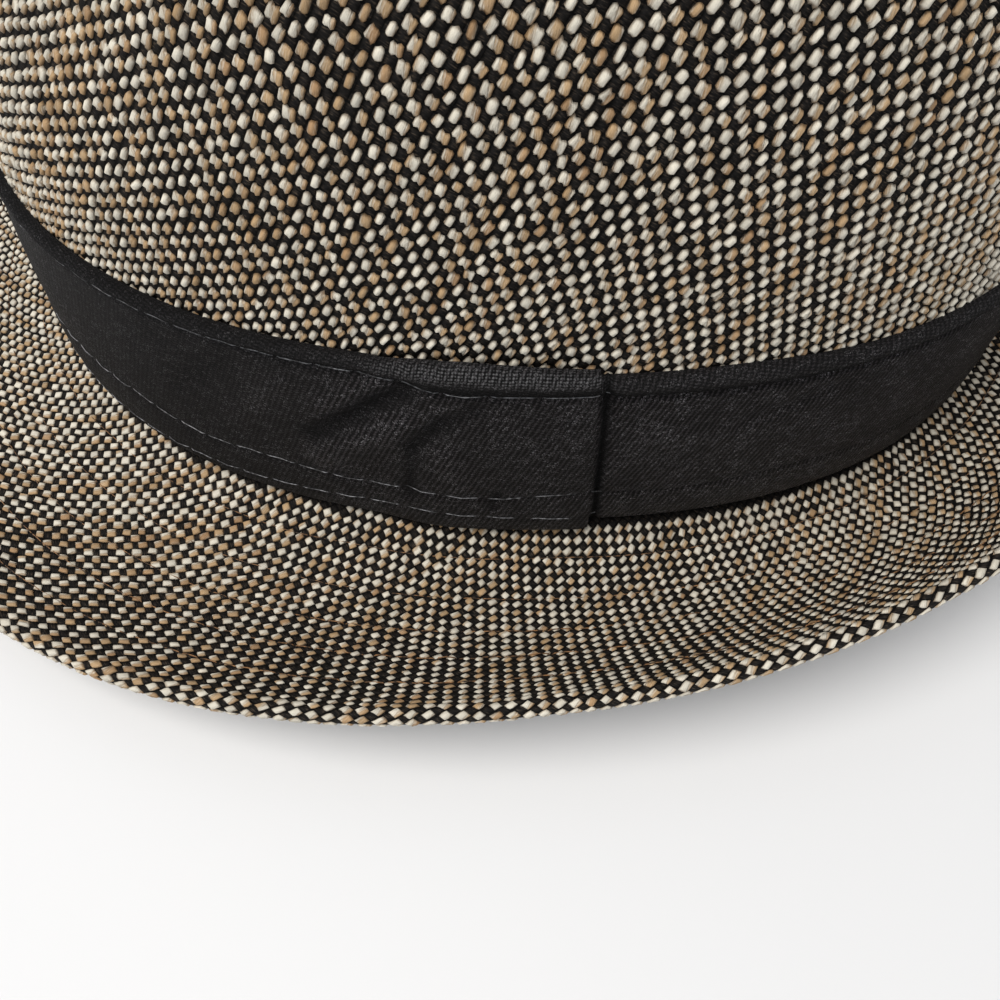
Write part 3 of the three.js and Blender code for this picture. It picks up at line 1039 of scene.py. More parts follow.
@built_once
def marl_group():
    """Two plies twisted together, one pale and one tan: their colour and their height."""
    graph, entry, leave = new_group(
        "marled plies",
        [("Yarn", VECTOR, None), ("Tone", NUMBER, 0.5), ("Pale", COLOUR, WHITE), ("Tan", COLOUR, WHITE),
         ("Rust", COLOUR, WHITE), ("Twist Length", NUMBER, 12.0)],
        [("Color", COLOUR), ("Height", NUMBER)])
    across, along, phase = graph.split(entry["Yarn"])
    wound = graph.times(graph.over(along, entry["Twist Length"]), 2 * math.pi)
    angle = graph.plus(graph.scaled(across, by=-math.pi / 2, plus=wound), phase)
    ply = graph.math("SINE", angle)
    strands = graph.join(graph.times(angle, 1.6), graph.times(along, 0.5), phase)
    fibre = graph.noise(strands, scale=2.2, detail=3.0, roughness=0.6)
    pale = graph.ramp(graph.scaled(fibre, by=2.6, plus=graph.minus(ply, 1.25)), low=-0.8, high=0.75)
    redness = graph.ramp(graph.math("FRACT", graph.times(entry["Tone"], 7.3)), low=0.5, high=1.3)
    colour = graph.mix(pale, graph.mix(redness, entry["Tan"], entry["Rust"]), entry["Pale"])
    by_tone = graph.scaled(entry["Tone"], by=0.3, plus=0.85)
    by_fibre = graph.scaled(fibre, by=0.5, plus=0.75)
    # Painted shade: lighter on the crown of each ply and darker in the groove between the two
    lobe = graph.math("POWER", graph.math("ABSOLUTE", ply), 0.5)
    lobe_shade = graph.scaled(lobe, by=0.22, plus=0.84)
    light = graph.times(graph.times(by_tone, by_fibre), lobe_shade)
    graph.feed(leave["Color"], graph.tint(colour, light))
    graph.feed(leave["Height"], graph.scaled(fibre, by=0.6, plus=graph.times(lobe, 0.7)))
    return graph.tree


@built_once
def plain_weave_group():
    """A plain weave from its (u, v): where the light yarns surface, the height, and each yarn's run."""
    graph, entry, leave = new_group(
        "plain weave", [("Weave", VECTOR, None)],
        [("Light", NUMBER), ("Height", NUMBER), ("Yarn", VECTOR), ("Tone", NUMBER)])
    u, v, _ = graph.split(entry["Weave"])
    run, beside = graph.plus(u, v), graph.minus(u, v)
    run_cell, beside_cell = graph.whole(run), graph.whole(beside)
    odd = graph.math("FLOORED_MODULO", graph.plus(run_cell, beside_cell), 2.0)
    run_off, beside_off = graph.minus(run, run_cell), graph.minus(beside, beside_cell)
    swap = graph.minus(beside_off, run_off)
    along = graph.scaled(odd, by=swap, plus=run_off)
    across = graph.minus(beside_off, graph.times(odd, swap))
    arch = graph.math("COSINE", graph.times(along, math.pi))
    wide = graph.times(across, YARN_NARROWED)
    rounded = graph.math("SQRT", graph.math("MAXIMUM", graph.minus(1.0, graph.times(wide, wide)), 0.0))
    graph.feed(leave["Height"], graph.times(arch, rounded))
    graph.feed(leave["Light"], graph.minus(1.0, odd))
    thread = graph.node("ShaderNodeTexWhiteNoise", {"W": beside_cell}, noise_dimensions="1D")
    graph.feed(leave["Yarn"], graph.join(
        graph.times(across, 2.0), graph.times(run, YARN_PITCH),
        graph.times(thread.outputs["Value"], 2 * math.pi)))
    graph.feed(leave["Tone"], graph.chance(run_cell, beside_cell))
    return graph.tree


@built_once
def twill_group():
    """Steep ribs of short floats, from mm along and up the cloth, and where painted glints lie on them."""
    graph, entry, leave = new_group(
        "twill", [("Cloth", VECTOR, None), ("Rib Pitch", NUMBER, 0.85), ("Rib Depth", NUMBER, 0.3)],
        [("Height", NUMBER), ("Glint", NUMBER), ("Dots", NUMBER)])
    along, up, _ = graph.split(entry["Cloth"])
    wobble = graph.scaled(graph.noise(entry["Cloth"], scale=0.6, detail=1.0), by=0.5, plus=-0.25)
    across_rib = graph.scaled(up, by=RIB_UP, plus=graph.times(along, RIB_ALONG))
    rib_place = graph.plus(graph.over(across_rib, entry["Rib Pitch"]), wobble)
    rib_cell = graph.whole(rib_place)
    course = graph.scaled(
        rib_cell, by=FLOAT_SHIFT, plus=graph.over(up, graph.times(entry["Rib Pitch"], FLOAT_LENGTH)))
    fibre = graph.noise(entry["Cloth"], scale=4.5, detail=3.0, roughness=0.75)
    ribs = graph.times(graph.wave(rib_place), entry["Rib Depth"])
    height = graph.scaled(graph.wave(course), by=0.3, plus=ribs)
    graph.feed(leave["Height"], graph.scaled(graph.minus(fibre, 0.5), by=3.8, plus=height))
    across_dots = graph.times(along, math.pi / DOT_PITCH_ALONG)
    up_dots = graph.times(up, math.pi / DOT_PITCH_UP)
    graph.feed(leave["Dots"], graph.times(
        graph.math("COSINE", graph.plus(across_dots, up_dots)),
        graph.math("COSINE", graph.minus(across_dots, up_dots))))
    # Painted glints: sparse fine specks, in patches and on some floats, standing in for fibres that catch
    # the light
    spark = graph.ramp(graph.noise(entry["Cloth"], scale=3.8, roughness=0.7), low=0.53, high=0.66)
    patch = graph.ramp(graph.noise(entry["Cloth"], scale=0.09), low=0.3, high=0.75, bottom=0.5, top=0.95)
    bright_float = graph.ramp(graph.chance(rib_cell, graph.whole(course)), low=0.3, high=1.0)
    graph.feed(leave["Glint"], graph.times(patch, graph.times(spark, bright_float)))
    return graph.tree


@built_once
def lint_group():
    """Sparse pale specks of dust and lint on a dark cloth."""
    graph, entry, leave = new_group(
        "lint", [("Place", VECTOR, None), ("Amount", NUMBER, 0.5)], [("Mask", NUMBER)])
    fine = graph.noise(entry["Place"], scale=2.3, detail=3.0, roughness=0.7)
    broad = graph.noise(entry["Place"], scale=0.17, detail=1.0)
    near = graph.scaled(broad, by=0.16, plus=fine)
    low = graph.scaled(entry["Amount"], by=-0.1, plus=0.86)
    graph.feed(leave["Mask"], graph.ramp(near, low, graph.plus(low, 0.05)))
    return graph.tree


def new_material(name, finish):
    """A material of one shader with a plain finish: (material, graph, shader)."""
    material = bpy.data.materials.new(name)
    material.use_nodes = True
    material.node_tree.nodes.clear()
    graph = Graph(material.node_tree)
    shader = graph.node("ShaderNodeBsdfPrincipled", finish)
    graph.node("ShaderNodeOutputMaterial", {"Surface": shader.outputs[0]})
    return material, graph, shader


def raise_surface(graph, shader, height, distance):
    """Feeds a height in millimetres into the shader's normal."""
    bump = graph.node("ShaderNodeBump", {"Height": height, "Distance": distance * MM, "Strength": 1.0})
    graph.feed(shader.inputs["Normal"], bump.outputs[0])


def colour_of(values):
    return (*values, 1.0)


def plies_node(graph, yarn, tone):
    """The light yarn's two plies in the cloth's colours."""
    cloth = bpy.context.scene.fedora_cloth
    return graph.group(marl_group(), {
        "Yarn": yarn, "Tone": tone, "Pale": colour_of(cloth.pale), "Tan": colour_of(cloth.tan),
        "Rust": colour_of(cloth.rust), "Twist Length": cloth.twist_length})


@built_once
def marled_yarn_material():
    """The light yarn where it surfaces, with painted shade in warm brown towards its rim."""
    material, graph, shader = new_material("marled_yarn", {"Roughness": 0.75, "Specular IOR Level": 0.25})
    yarn = graph.note("yarn_place", "Vector")
    plies = plies_node(graph, yarn, graph.note("yarn_tone"))
    across, along, _ = graph.split(yarn)
    # Painted shade: the colour turns to a warm dark brown towards the surfacing's rim, standing in for its
    # shaded flanks
    rim = graph.math("MAXIMUM", *(
        graph.ramp(graph.math("ABSOLUTE", way), *reach, top=RIM_SHADE_SHARE)
        for way, reach in ((across, RIM_SHADE_ACROSS), (along, RIM_SHADE_ALONG))))
    graph.feed(shader.inputs["Base Color"], graph.mix(rim, plies["Color"], RIM_SHADE_COLOUR))
    raise_surface(graph, shader, plies["Height"], YARN_BUMP)
    return material


def weave_material(name, pale_share):
    """Woven cloth as seen without its raised yarns: pale_share says how much the light yarns show."""
    dark_yarn = colour_of(bpy.context.scene.fedora_cloth.dark)
    material, graph, shader = new_material(name, {"Roughness": 0.8, "Specular IOR Level": 0.12})
    weave = graph.node("ShaderNodeUVMap", uv_map="weave").outputs[0]
    plain = graph.group(plain_weave_group(), {"Weave": weave})
    plies = plies_node(graph, plain["Yarn"], plain["Tone"])
    lint = graph.group(lint_group(), {"Place": weave, "Amount": 0.3})
    u, v, _ = graph.split(weave)
    strands = graph.join(graph.times(graph.plus(u, v), 9.0), graph.minus(u, v))
    fibre = graph.noise(strands, scale=1.3, roughness=0.6)
    # Painted shade: the dark yarn is darkened down between the yarns and lighter on their tops
    shade_by_height = graph.ramp(plain["Height"], low=-0.1, high=0.7, bottom=0.05)
    by_fibre = graph.ramp(fibre, low=0.3, high=0.7, bottom=0.2, top=1.5)
    dark = graph.mix(graph.ramp(fibre, low=0.54, high=0.8), dark_yarn, DARK_FIBRE)
    shaded = graph.tint(dark, graph.times(shade_by_height, by_fibre))
    dusty = graph.mix(graph.times(lint["Mask"], 0.25), shaded, CLOTH_LINT)
    shown = graph.times(graph.ramp(plain["Height"], low=0.05, high=0.35), plain["Light"])
    colour = graph.mix(graph.times(shown, pale_share), dusty, plies["Color"])
    graph.feed(shader.inputs["Base Color"], colour)
    raise_surface(graph, shader, graph.scaled(fibre, by=0.3, plus=plain["Height"]), WEAVE_BUMP)
    return material


@built_once
def ground_material():
    """The dark yarns between the surfacings of the light ones."""
    return weave_material("dark_ground", 0.0)


@built_once
def inner_cloth_material():
    """The inside of the crown."""
    return weave_material("inner_cloth", 1.0)


@built_once
def twill_material():
    """Black cotton twill: diagonal ribs of short floats, a plainer turned hem, lint and wear, with painted
    sheen, glints and shade, and a painted highlight on the hem's upper edge.
    """
    band = bpy.context.scene.fedora_band
    material, graph, shader = new_material("black_twill", {"Roughness": 0.6, "Specular IOR Level": 0.2})
    cloth = graph.node("ShaderNodeUVMap", uv_map="cloth").outputs[0]
    wear, rubbed = graph.note("wear"), graph.note("rubbed")
    twill = graph.group(twill_group(), {
        "Cloth": cloth, "Rib Pitch": band.rib_pitch,
        "Rib Depth": graph.ramp(wear, low=0.7, high=1.3, bottom=0.2, top=0.75)})
    lint = graph.group(lint_group(), {"Place": cloth, "Amount": band.lint})
    # Lighter on the rib tops and darker in the valleys: wear on the ribs, with painted sheen on the tops
    # and painted shade below
    raised = graph.ramp(twill["Height"], low=-0.3, high=1.3)
    base = graph.mix(raised, colour_of(band.dark), colour_of(band.worn_and_sheen))
    # Painted highlight: the pale glints are mixed into the colour
    glint = graph.times(twill["Glint"], graph.ramp(wear, low=0.7, high=1.3, bottom=0.55))
    base = graph.mix(glint, base, BAND_GLINT)
    # The colour follows the band's wear, painted sheen and painted shade, in soft patches
    patches = graph.noise(cloth, scale=0.12, detail=3.0, roughness=0.6)
    base = graph.tint(base, graph.times(wear, graph.scaled(patches, by=1.2, plus=0.4)))
    # Painted highlight: the upper part of the hem's turned edge is made paler, most on the dots of its
    # weave, where it faces up to the light
    tops = graph.ramp(graph.scaled(twill["Height"], by=0.45, plus=twill["Dots"]), low=-0.2, high=1.4)
    base = graph.mix(graph.times(rubbed, tops), base, BAND_HEM_HIGHLIGHT)
    base = graph.mix(graph.times(lint["Mask"], 0.35), base, BAND_LINT)
    graph.feed(shader.inputs["Base Color"], base)
    graph.feed(shader.inputs["Roughness"], graph.ramp(wear, low=0.2, high=1.2, bottom=0.95, top=0.55))
    raise_surface(graph, shader, twill["Height"], TWILL_BUMP)
    return material


def thread_material(name, colour, roughness, specular):
    """Sewing thread: fine twisted plies with a slight gloss, and painted glints along it."""
    material, graph, shader = new_material(
        name, {"Roughness": roughness, "Sheen Weight": 0.1, "Specular IOR Level": specular})
    place = graph.node("ShaderNodeTexCoord").outputs["Object"]
    speck = graph.noise(place, scale=900.0, detail=3.0, roughness=0.7)
    # Painted glints: sparse specks along the thread are made much brighter than its colour, the rest darker
    strength = graph.ramp(speck, low=0.38, high=0.66, bottom=0.15, top=2.8)
    graph.feed(shader.inputs["Base Color"], graph.tint(colour_of(colour), strength))
    raise_surface(graph, shader, speck, THREAD_BUMP)
    return material


@built_once
def brim_thread_material():
    """Dull brown thread."""
    colour = bpy.context.scene.fedora_stitching.brim_thread
    return thread_material("brim_thread", colour, roughness=0.6, specular=0.4)


@built_once
def band_thread_material():
    """Slightly glossy dark thread."""
    colour = bpy.context.scene.fedora_stitching.band_thread
    return thread_material("band_thread", colour, roughness=0.38, specular=0.7)


@built_once
def floor_material():
    """A plain pale studio floor with a faint unevenness in its gloss."""
    stage = bpy.context.scene.fedora_stage
    material, graph, shader = new_material("pale_floor", {"Roughness": 0.6, "Specular IOR Level": 0.3})
    place = graph.node("ShaderNodeTexCoord").outputs["Object"]
    cloudy = graph.noise(place, scale=7.0)
    strength = graph.scaled(cloudy, by=0.04, plus=0.98)
    graph.feed(shader.inputs["Base Color"], graph.tint(colour_of(stage.floor_colour), strength))
    graph.feed(shader.inputs["Roughness"], graph.scaled(cloudy, by=0.2, plus=0.5))
    return material


# ---------------------------------------------------------------------------------------------------
# Settings that a user would change
# ---------------------------------------------------------------------------------------------------

class FedoraCloth(bpy.types.PropertyGroup):
    """The marled cloth of the crown and the brim."""

    pale: FloatVectorProperty(
        name="Pale ply", description="Colour of the pale ply of the light yarn",
        default=(0.62, 0.575, 0.485), subtype="COLOR", min=0, max=1)
    tan: FloatVectorProperty(
        name="Tan ply", description="Colour of the tan ply of the light yarn",
        default=(0.41, 0.275, 0.15), subtype="COLOR", min=0, max=1)
    rust: FloatVectorProperty(
        name="Rust ply", description="Colour of the redder lengths of the tan ply",
        default=(0.3, 0.17, 0.085), subtype="COLOR", min=0, max=1)
    dark: FloatVectorProperty(
        name="Dark yarn", description="Colour of the dark yarn",
        default=(0.0118, 0.0104, 0.0098), subtype="COLOR", min=0, max=1)
    twist_length: FloatProperty(
        name="Twist length", description="Length of one full twist of the plies, in mm",
        default=12.0, min=1)
    crown_float: FloatVectorProperty(
        name="Crown float", description="Length, width and height of a surfacing yarn on the crown, in mm",
        default=(1.88, 1.4, 0.34), min=0.0)
    brim_float: FloatVectorProperty(
        name="Brim float", description="Length, width and height of a surfacing yarn on the brim, in mm",
        default=(1.62, 1.26, 0.19), min=0.0)


class FedoraBand(bpy.types.PropertyGroup):
    """The twill band."""

    # The twill's colour goes from its valleys to its rib tops: wear on the ribs, with painted sheen and
    # painted shade
    dark: FloatVectorProperty(
        name="Twill", description="Colour of the twill in its valleys",
        default=(0.0018, 0.0016, 0.0018), subtype="COLOR", min=0, max=1)
    worn_and_sheen: FloatVectorProperty(
        name="Rib tops", description="Colour of the twill on its ribs",
        default=(0.072, 0.063, 0.068), subtype="COLOR", min=0, max=1)
    rib_pitch: FloatProperty(
        name="Rib pitch", description="Distance between the ribs of the twill, in mm",
        default=0.86, min=0.2)
    lint: FloatProperty(
        name="Lint", description="Amount of lint", default=0.5, min=0, max=1, subtype="FACTOR")


class FedoraStitching(bpy.types.PropertyGroup):
    """The sewing threads."""

    brim_thread: FloatVectorProperty(
        name="Brim thread", description="Colour of the brim's thread",
        default=(0.12, 0.06, 0.024), subtype="COLOR", min=0, max=1)
    band_thread: FloatVectorProperty(
        name="Band thread", description="Colour of the band's thread",
        default=(0.1, 0.1, 0.105), subtype="COLOR", min=0, max=1)
    brim_stitch: FloatProperty(
        name="Brim stitch", description="Length of a stitch on the brim, in mm", default=2.9, min=1)
    band_stitch: FloatProperty(
        name="Band stitch", description="Length of a stitch on the band, in mm", default=5.5, min=1)
    thread_width: FloatProperty(
        name="Thread width", description="Thickness of the threads, in mm", default=0.26, min=0.05)


class FedoraStage(bpy.types.PropertyGroup):
    """The studio."""

    floor_colour: FloatVectorProperty(
        name="Floor", description="Colour of the floor", default=(0.78, 0.78, 0.79), subtype="COLOR",
        min=0, max=1)
    key_power: FloatProperty(
        name="Key light", description="Power of the large soft light above", default=12.0, unit="POWER")
    fill_power: FloatProperty(
        name="Fill light", description="Power of the soft light from the front", default=1.8, unit="POWER")
    sky: FloatProperty(
        name="Sky", description="Strength of the even light all round", default=0.5, min=0)
    seed: IntProperty(name="Seed", description="Start of all random draws", default=7, min=0)


# ---------------------------------------------------------------------------------------------------
# Pieces
# ---------------------------------------------------------------------------------------------------

# The turn between two columns of a cloth, and how far from the back seam its extra columns lie, in half
# widths of the seam
ROUND_STEP = 2.0
BESIDE_SEAM = np.array([0.4, 0.8, 1.3, 2.0])

# Numbers of rows: up the crown's wall and its shoulder, up to the crest and on to the middle of the tip,
# out along the brim and round its edge, and up the band's foot, middle and hem
WALL_ROWS = 36
SHOULDER_ROWS = 8
CREST_ROWS = 7
HOLLOW_ROWS = 30
BRIM_ROWS = 40
ROLL_ROWS = 5
BAND_ROWS = (13, 22, 12)

# How far the crown's side and its tip stop short of the seam between them, as a way, and the share of half
# the brim's rolled edge from its first row to its last
SIDE_SHORT = 0.02
TIP_SHORT = 0.03
ROLL_SHARES = (0.15, 0.93)

# The angle from which an edge of the cloth and of the band is drawn sharp
SHARP_EDGE = 50
SHARP_BAND_EDGE = 60


def cloth_turns():
    """The columns of a cloth that starts and ends at the back seam, closer together beside it."""
    whole = np.linspace(-SEAM_END, SEAM_END, int(360 / ROUND_STEP) + 1)
    beside = SEAM_END - BACK_SEAM_TURNS * BESIDE_SEAM
    return np.sort(np.concatenate([whole, -beside, beside]))


# Whole (u, v) that cover the crown's side, and whole v that cover the brim from its end below to its start
CROWN_YARN_RANGE = ((-260, 110), (-260, 260))
BRIM_YARN_RANGE = (-90, 60)

# The size of the brim's surfacings, as a share of their own, and how much it changes over the brim
BRIM_FLOAT_SHARE = 1.01
SMALLER_AT_EDGE = 0.16
LARGER_AT_FRONT = 0.11
LARGER_BEHIND_LAP = 0.11

# The place of the inner skin among the parts of a wall
INNER_SKIN = 1

# What the tip's and the threads' random draws add to the seed
TIP_DRAWS = 11
THREAD_DRAWS = 31


def parts_of(faces):
    """The number of the part that each face belongs to."""
    return np.repeat(np.arange(len(faces)), [len(part) for part in faces])


def line_inside(piece, inside):
    """Gives the faces on the inside of a crown piece the look of the plain cloth."""
    piece.data.materials.append(inner_cloth_material())
    piece.data.polygons.foreach_set("material_index", inside.astype(np.int32))


class FEDORA_OT_crown_wall(bpy.types.Operator):
    """Builds the crown's side with its raised light yarns"""

    bl_idname = "fedora.crown_wall"
    bl_label = "Crown side"

    def execute(self, context):
        cloth, seed = context.scene.fedora_cloth, context.scene.fedora_stage.seed
        ways = np.concatenate([np.linspace(0, 1, WALL_ROWS),
                               np.linspace(1, SEAM_WAY - SIDE_SHORT, SHOULDER_ROWS)[1:]])
        turns, ways = np.meshgrid(cloth_turns(), ways, indexing="ij")
        outer = crown_place(turns, ways, -CROWN_SINK - crown_dip(turns, ways))
        inner = crown_place(turns, ways, np.full(turns.shape, -CROWN_CLOTH))
        points, faces = wall(outer, inner)
        laid = np.stack(CROWN_WEAVE.lay(turns, ways), -1).reshape(-1, 2)
        piece = make_piece("crown_wall", points, faces, ground_material(), ["crown_side"],
                           {"weave": np.concatenate([laid, laid])}, sharp=SHARP_EDGE)
        line_inside(piece, parts_of(faces) == INNER_SKIN)

        u, v = whole_places(*CROWN_YARN_RANGE)
        turn, length = CROWN_WEAVE.find(u, v)
        last = np.interp(turn, WHOLE_TURN, CROWN_WEAVE.top) - CROWN_YARNS_MARGIN
        here = (np.abs(turn) < SEWN_TURN) & (length > CROWN_YARNS_FROM) & (length < last)
        for side, chosen in (("left", turn >= 0), ("right", turn < 0)):
            kept = here & chosen
            float_piece("crown_yarn_" + side, u[kept], v[kept], CROWN_WEAVE.place, CROWN_ROW,
                        cloth.crown_float, CROWN_SINK, seed + len(side))
        return {"FINISHED"}


class FEDORA_OT_crown_top(bpy.types.Operator):
    """Builds the hollowed tip of the crown with its raised light yarns"""

    bl_idname = "fedora.crown_top"
    bl_label = "Crown tip"

    def execute(self, context):
        cloth, seed = context.scene.fedora_cloth, context.scene.fedora_stage.seed
        ways = np.concatenate([np.linspace(SEAM_WAY + TIP_SHORT, 2, CREST_ROWS),
                               np.linspace(2, 3, HOLLOW_ROWS)[1:-1]])
        turns, ways = np.meshgrid(np.arange(-180, 180, ROUND_STEP), ways, indexing="ij")
        outer = tip_place(turns, ways, -CROWN_SINK - tip_dip(ways))
        inner = tip_place(turns, ways, np.full(turns.shape, -CROWN_CLOTH))
        points, (outer_skin, inner_skin, hem, _) = wall(outer, inner, ring=True)
        # Two fans of triangles close the skins in the middle of the tip
        columns, rows = turns.shape
        last = np.arange(columns) * rows + rows - 1
        middles = np.stack([tip_place(np.array(0.0), np.array(3.0), np.array(depth))
                            for depth in (-CROWN_SINK, -CROWN_CLOTH)])
        outer_fan = np.stack([last, np.roll(last, -1), np.full(columns, len(points))], 1)
        inner_fan = np.stack([np.roll(last, -1), last, np.full(columns, len(points))], 1)
        inner_fan = inner_fan + np.array([columns * rows, columns * rows, 1])
        faces = [outer_skin, inner_skin, hem, outer_fan, inner_fan]
        points = np.concatenate([points, middles])
        flat = crown_point(turns, ways).reshape(-1, 3)
        flat = np.concatenate([flat, flat, np.zeros((2, 3))])
        piece = make_piece("crown_top", points, faces, ground_material(), ["crown_tip"],
                           {"weave": np.stack(TIP_WEAVE.lay(flat), -1)}, sharp=SHARP_EDGE)
        inner_fan_part = len(faces) - 1
        line_inside(piece, np.isin(parts_of(faces), (INNER_SKIN, inner_fan_part)))

        reach = FOOT_LENGTH / CROWN_ROW
        u, v = whole_places((-reach, reach), (-reach, reach))
        kept = TIP_WEAVE.find(u, v)[1] < TIP_YARNS_SHARE
        float_piece("crown_top_yarn", u[kept], v[kept], TIP_WEAVE.place, CROWN_ROW, cloth.crown_float,
                    CROWN_SINK, seed + TIP_DRAWS)
        return {"FINISHED"}


class FEDORA_OT_brim(bpy.types.Operator):
    """Builds the brim with its folded edge and its raised light yarns"""

    bl_idname = "fedora.brim"
    bl_label = "Brim"

    def execute(self, context):
        cloth, seed = context.scene.fedora_cloth, context.scene.fedora_stage.seed
        turns = cloth_turns()[::-1]
        half_roll = math.pi / 2 * ROLL_RADIUS
        out = np.concatenate([[-BRIM_MARGIN], np.linspace(0, ROLL_START, BRIM_ROWS),
                              ROLL_START + np.linspace(*ROLL_SHARES, ROLL_ROWS) * half_roll])
        skins, laid = [], []
        for strip in (out, ROLL_START + ROLL_END - out):
            places = np.meshgrid(turns, strip, indexing="ij")
            skins.append(brim_place(*places, -BRIM_SINK - back_dip(places[0], BRIM_BACK_DIP)))
            laid.append(np.stack(BRIM_WEAVE.lay(*places), -1).reshape(-1, 2))
        points, faces = wall(*skins)
        make_piece("brim_cloth", points, faces, ground_material(), ["brim"],
                   {"weave": np.concatenate(laid)}, sharp=SHARP_EDGE)

        first = arc_at(-180) / BRIM_COLUMN - CAUGHT_IN_SEAM
        last = arc_at(180) / BRIM_COLUMN + CAUGHT_IN_SEAM
        u, v = whole_places((first, last), BRIM_YARN_RANGE)
        turn, strip = BRIM_WEAVE.find(u, v)
        strip_end = ROLL_START + ROLL_END
        inside = (u > first) & (u < last)
        inside = inside & (strip > BRIM_YARNS_FROM) & (strip < strip_end - BRIM_YARNS_MARGIN)
        drawn = self.drawn_size(turn, np.minimum(strip, strip_end - strip))
        on_top = strip < strip_end / 2
        for name, chosen in (("brim_yarn_top", on_top), ("brim_yarn_under", ~on_top)):
            kept = inside & chosen
            size = [amount * drawn[kept, None] for amount in cloth.brim_float]
            float_piece(name, u[kept], v[kept], BRIM_WEAVE.place, BRIM_COLUMN, size, BRIM_SINK,
                        seed + len(name), plied=False)
        return {"FINISHED"}

    def drawn_size(self, turn, reach):
        """The size of the surfacings: smaller towards the edge but not on it, larger towards the front, and
        larger near the crown a little behind the lap."""
        towards_edge = smooth(20, 32, reach) * (1 - smooth(ROLL_START - 2, ROLL_START, reach))
        ahead = LAP_TURN - np.abs(turn)
        behind_lap = smooth(4, 18, -ahead) * (1 - smooth(26, 40, -ahead))
        near_crown = 1 - smooth(12, 22, reach)
        drawn = BRIM_FLOAT_SHARE - SMALLER_AT_EDGE * towards_edge
        drawn = drawn + LARGER_AT_FRONT * smooth(16, 36, ahead)
        return drawn + LARGER_BEHIND_LAP * behind_lap * near_crown


def along_band(table, progress):
    """Reads a height by the way along the band."""
    ways, heights = zip(*table)
    return np.interp(progress, ways, heights)


def band_foot(progress):
    """The height of the band's lower edge."""
    return BAND_FOOT + BAND_FOOT_STEP * (1 - progress / BAND_WHOLE_TURN)


def band_turn(progress):
    """The turn round the hat of a way along the band."""
    return LAP_TURN + progress - LAP_LENGTH_TURNS


def band_arc(progress):
    """Mm along the band."""
    turn = band_turn(progress)
    whole = arc_at(180) - arc_at(-180)
    return arc_at(np.where(turn > 180, turn - 360, turn)) + np.where(turn > 180, whole, 0)


def crease_depth(progress, height):
    """How far the band is drawn in along its creases, which are deepest in their middle."""
    depth = 0
    along = band_arc(progress)
    for start, end, deep, half_width in BAND_CREASES:
        start, end = (np.array([band_arc(way), level]) for way, level in (start, end))
        reach = end - start
        share = ((along - start[0]) * reach[0] + (height - start[1]) * reach[1]) / (reach @ reach)
        share = np.clip(share, 0, 1)
        gap = np.hypot(along - start[0] - share * reach[0], height - start[1] - share * reach[1])
        fading = 0.35 + 0.65 * np.sin(math.pi * (0.15 + 0.7 * share))
        depth = depth + deep * fading * bell(gap, half_width)
    return depth


def beside_lap(progress, height):
    """Where the band is drawn in under the lap's end: 1 along that line, 0 away from it."""
    line = np.interp(height, (0, BAND_TOP), BESIDE_LAP_LINE)
    near = bell(band_arc(progress) - band_arc(line), BESIDE_LAP_HALF_WIDTH)
    return near * smooth(0, BESIDE_LAP_FADES, height)


def band_relief(progress, height):
    """How far the band's outside stands off its plain form: hems, seams, puckers and creases."""
    along = band_arc(progress)
    edge, seam = along_band(BAND_EDGES, progress), along_band(HEM_SEAMS, progress)
    lower, low = along_band(LOWER_SEAMS, progress), along_band(FOOT_SEAMS, progress)
    foot = band_foot(progress)
    above = share_between(seam, edge, height)
    hem = HEM_BULGE * np.sqrt(np.clip(1 - (2 * above - 1) ** 2, 0, 1)) * (height > seam)
    hem = hem - HEM_TURNS_IN * above ** 6
    below = share_between(foot, lower, height)
    turned = FOOT_SWELL * np.sin(math.pi * below) - FOOT_TURNS_IN * (1 - smooth(0, 0.1, below))
    middle = share_between(lower, seam, height)
    sag = SAG_DEPTH * np.sin(math.pi * middle) * np.sin(along / 7.3 + middle * 2.1) * np.sin(along / 17 + 1)
    pucker = PUCKER_DEPTH * np.sin(along * 1.14) * (bell(height - seam, 2.2) + bell(height - lower, 2.5))
    pucker = pucker + FOOT_PUCKER_DEPTH * np.sin(along * 1.7 + 2) * bell(height - low, 1.5)
    pucker = pucker - BESIDE_LAP_DEPTH * beside_lap(progress, height)
    grooves = sum(strength * bell(height - line, SEAM_HALF_WIDTH) for line, strength in (
        (seam, 1), (lower, LOWER_SEAM_SHARE), (low, FOOT_SEAM_SHARE)))
    return hem + turned + sag + pucker - SEAM_DEPTH * grooves - crease_depth(progress, height)


def band_place(progress, height, out):
    """A place on the band's outside, moved out of it, in the frame."""
    progress, height, out = np.broadcast_arrays(np.asarray(progress, float), height, out)
    turn = band_turn(progress)
    lap_start = BAND_WHOLE_TURN - LAP_LENGTH_TURNS
    lap = smooth(lap_start - LAP_RAMP_TURNS, lap_start, progress)
    stand_off = GAP + BAND_CLOTH + lap * (BAND_CLOTH + GAP) + out
    point = oval_point(turn, wall_inset(height) - stand_off)
    point[..., 2] = height
    return rest_place(point, foot_lift(turn, height))


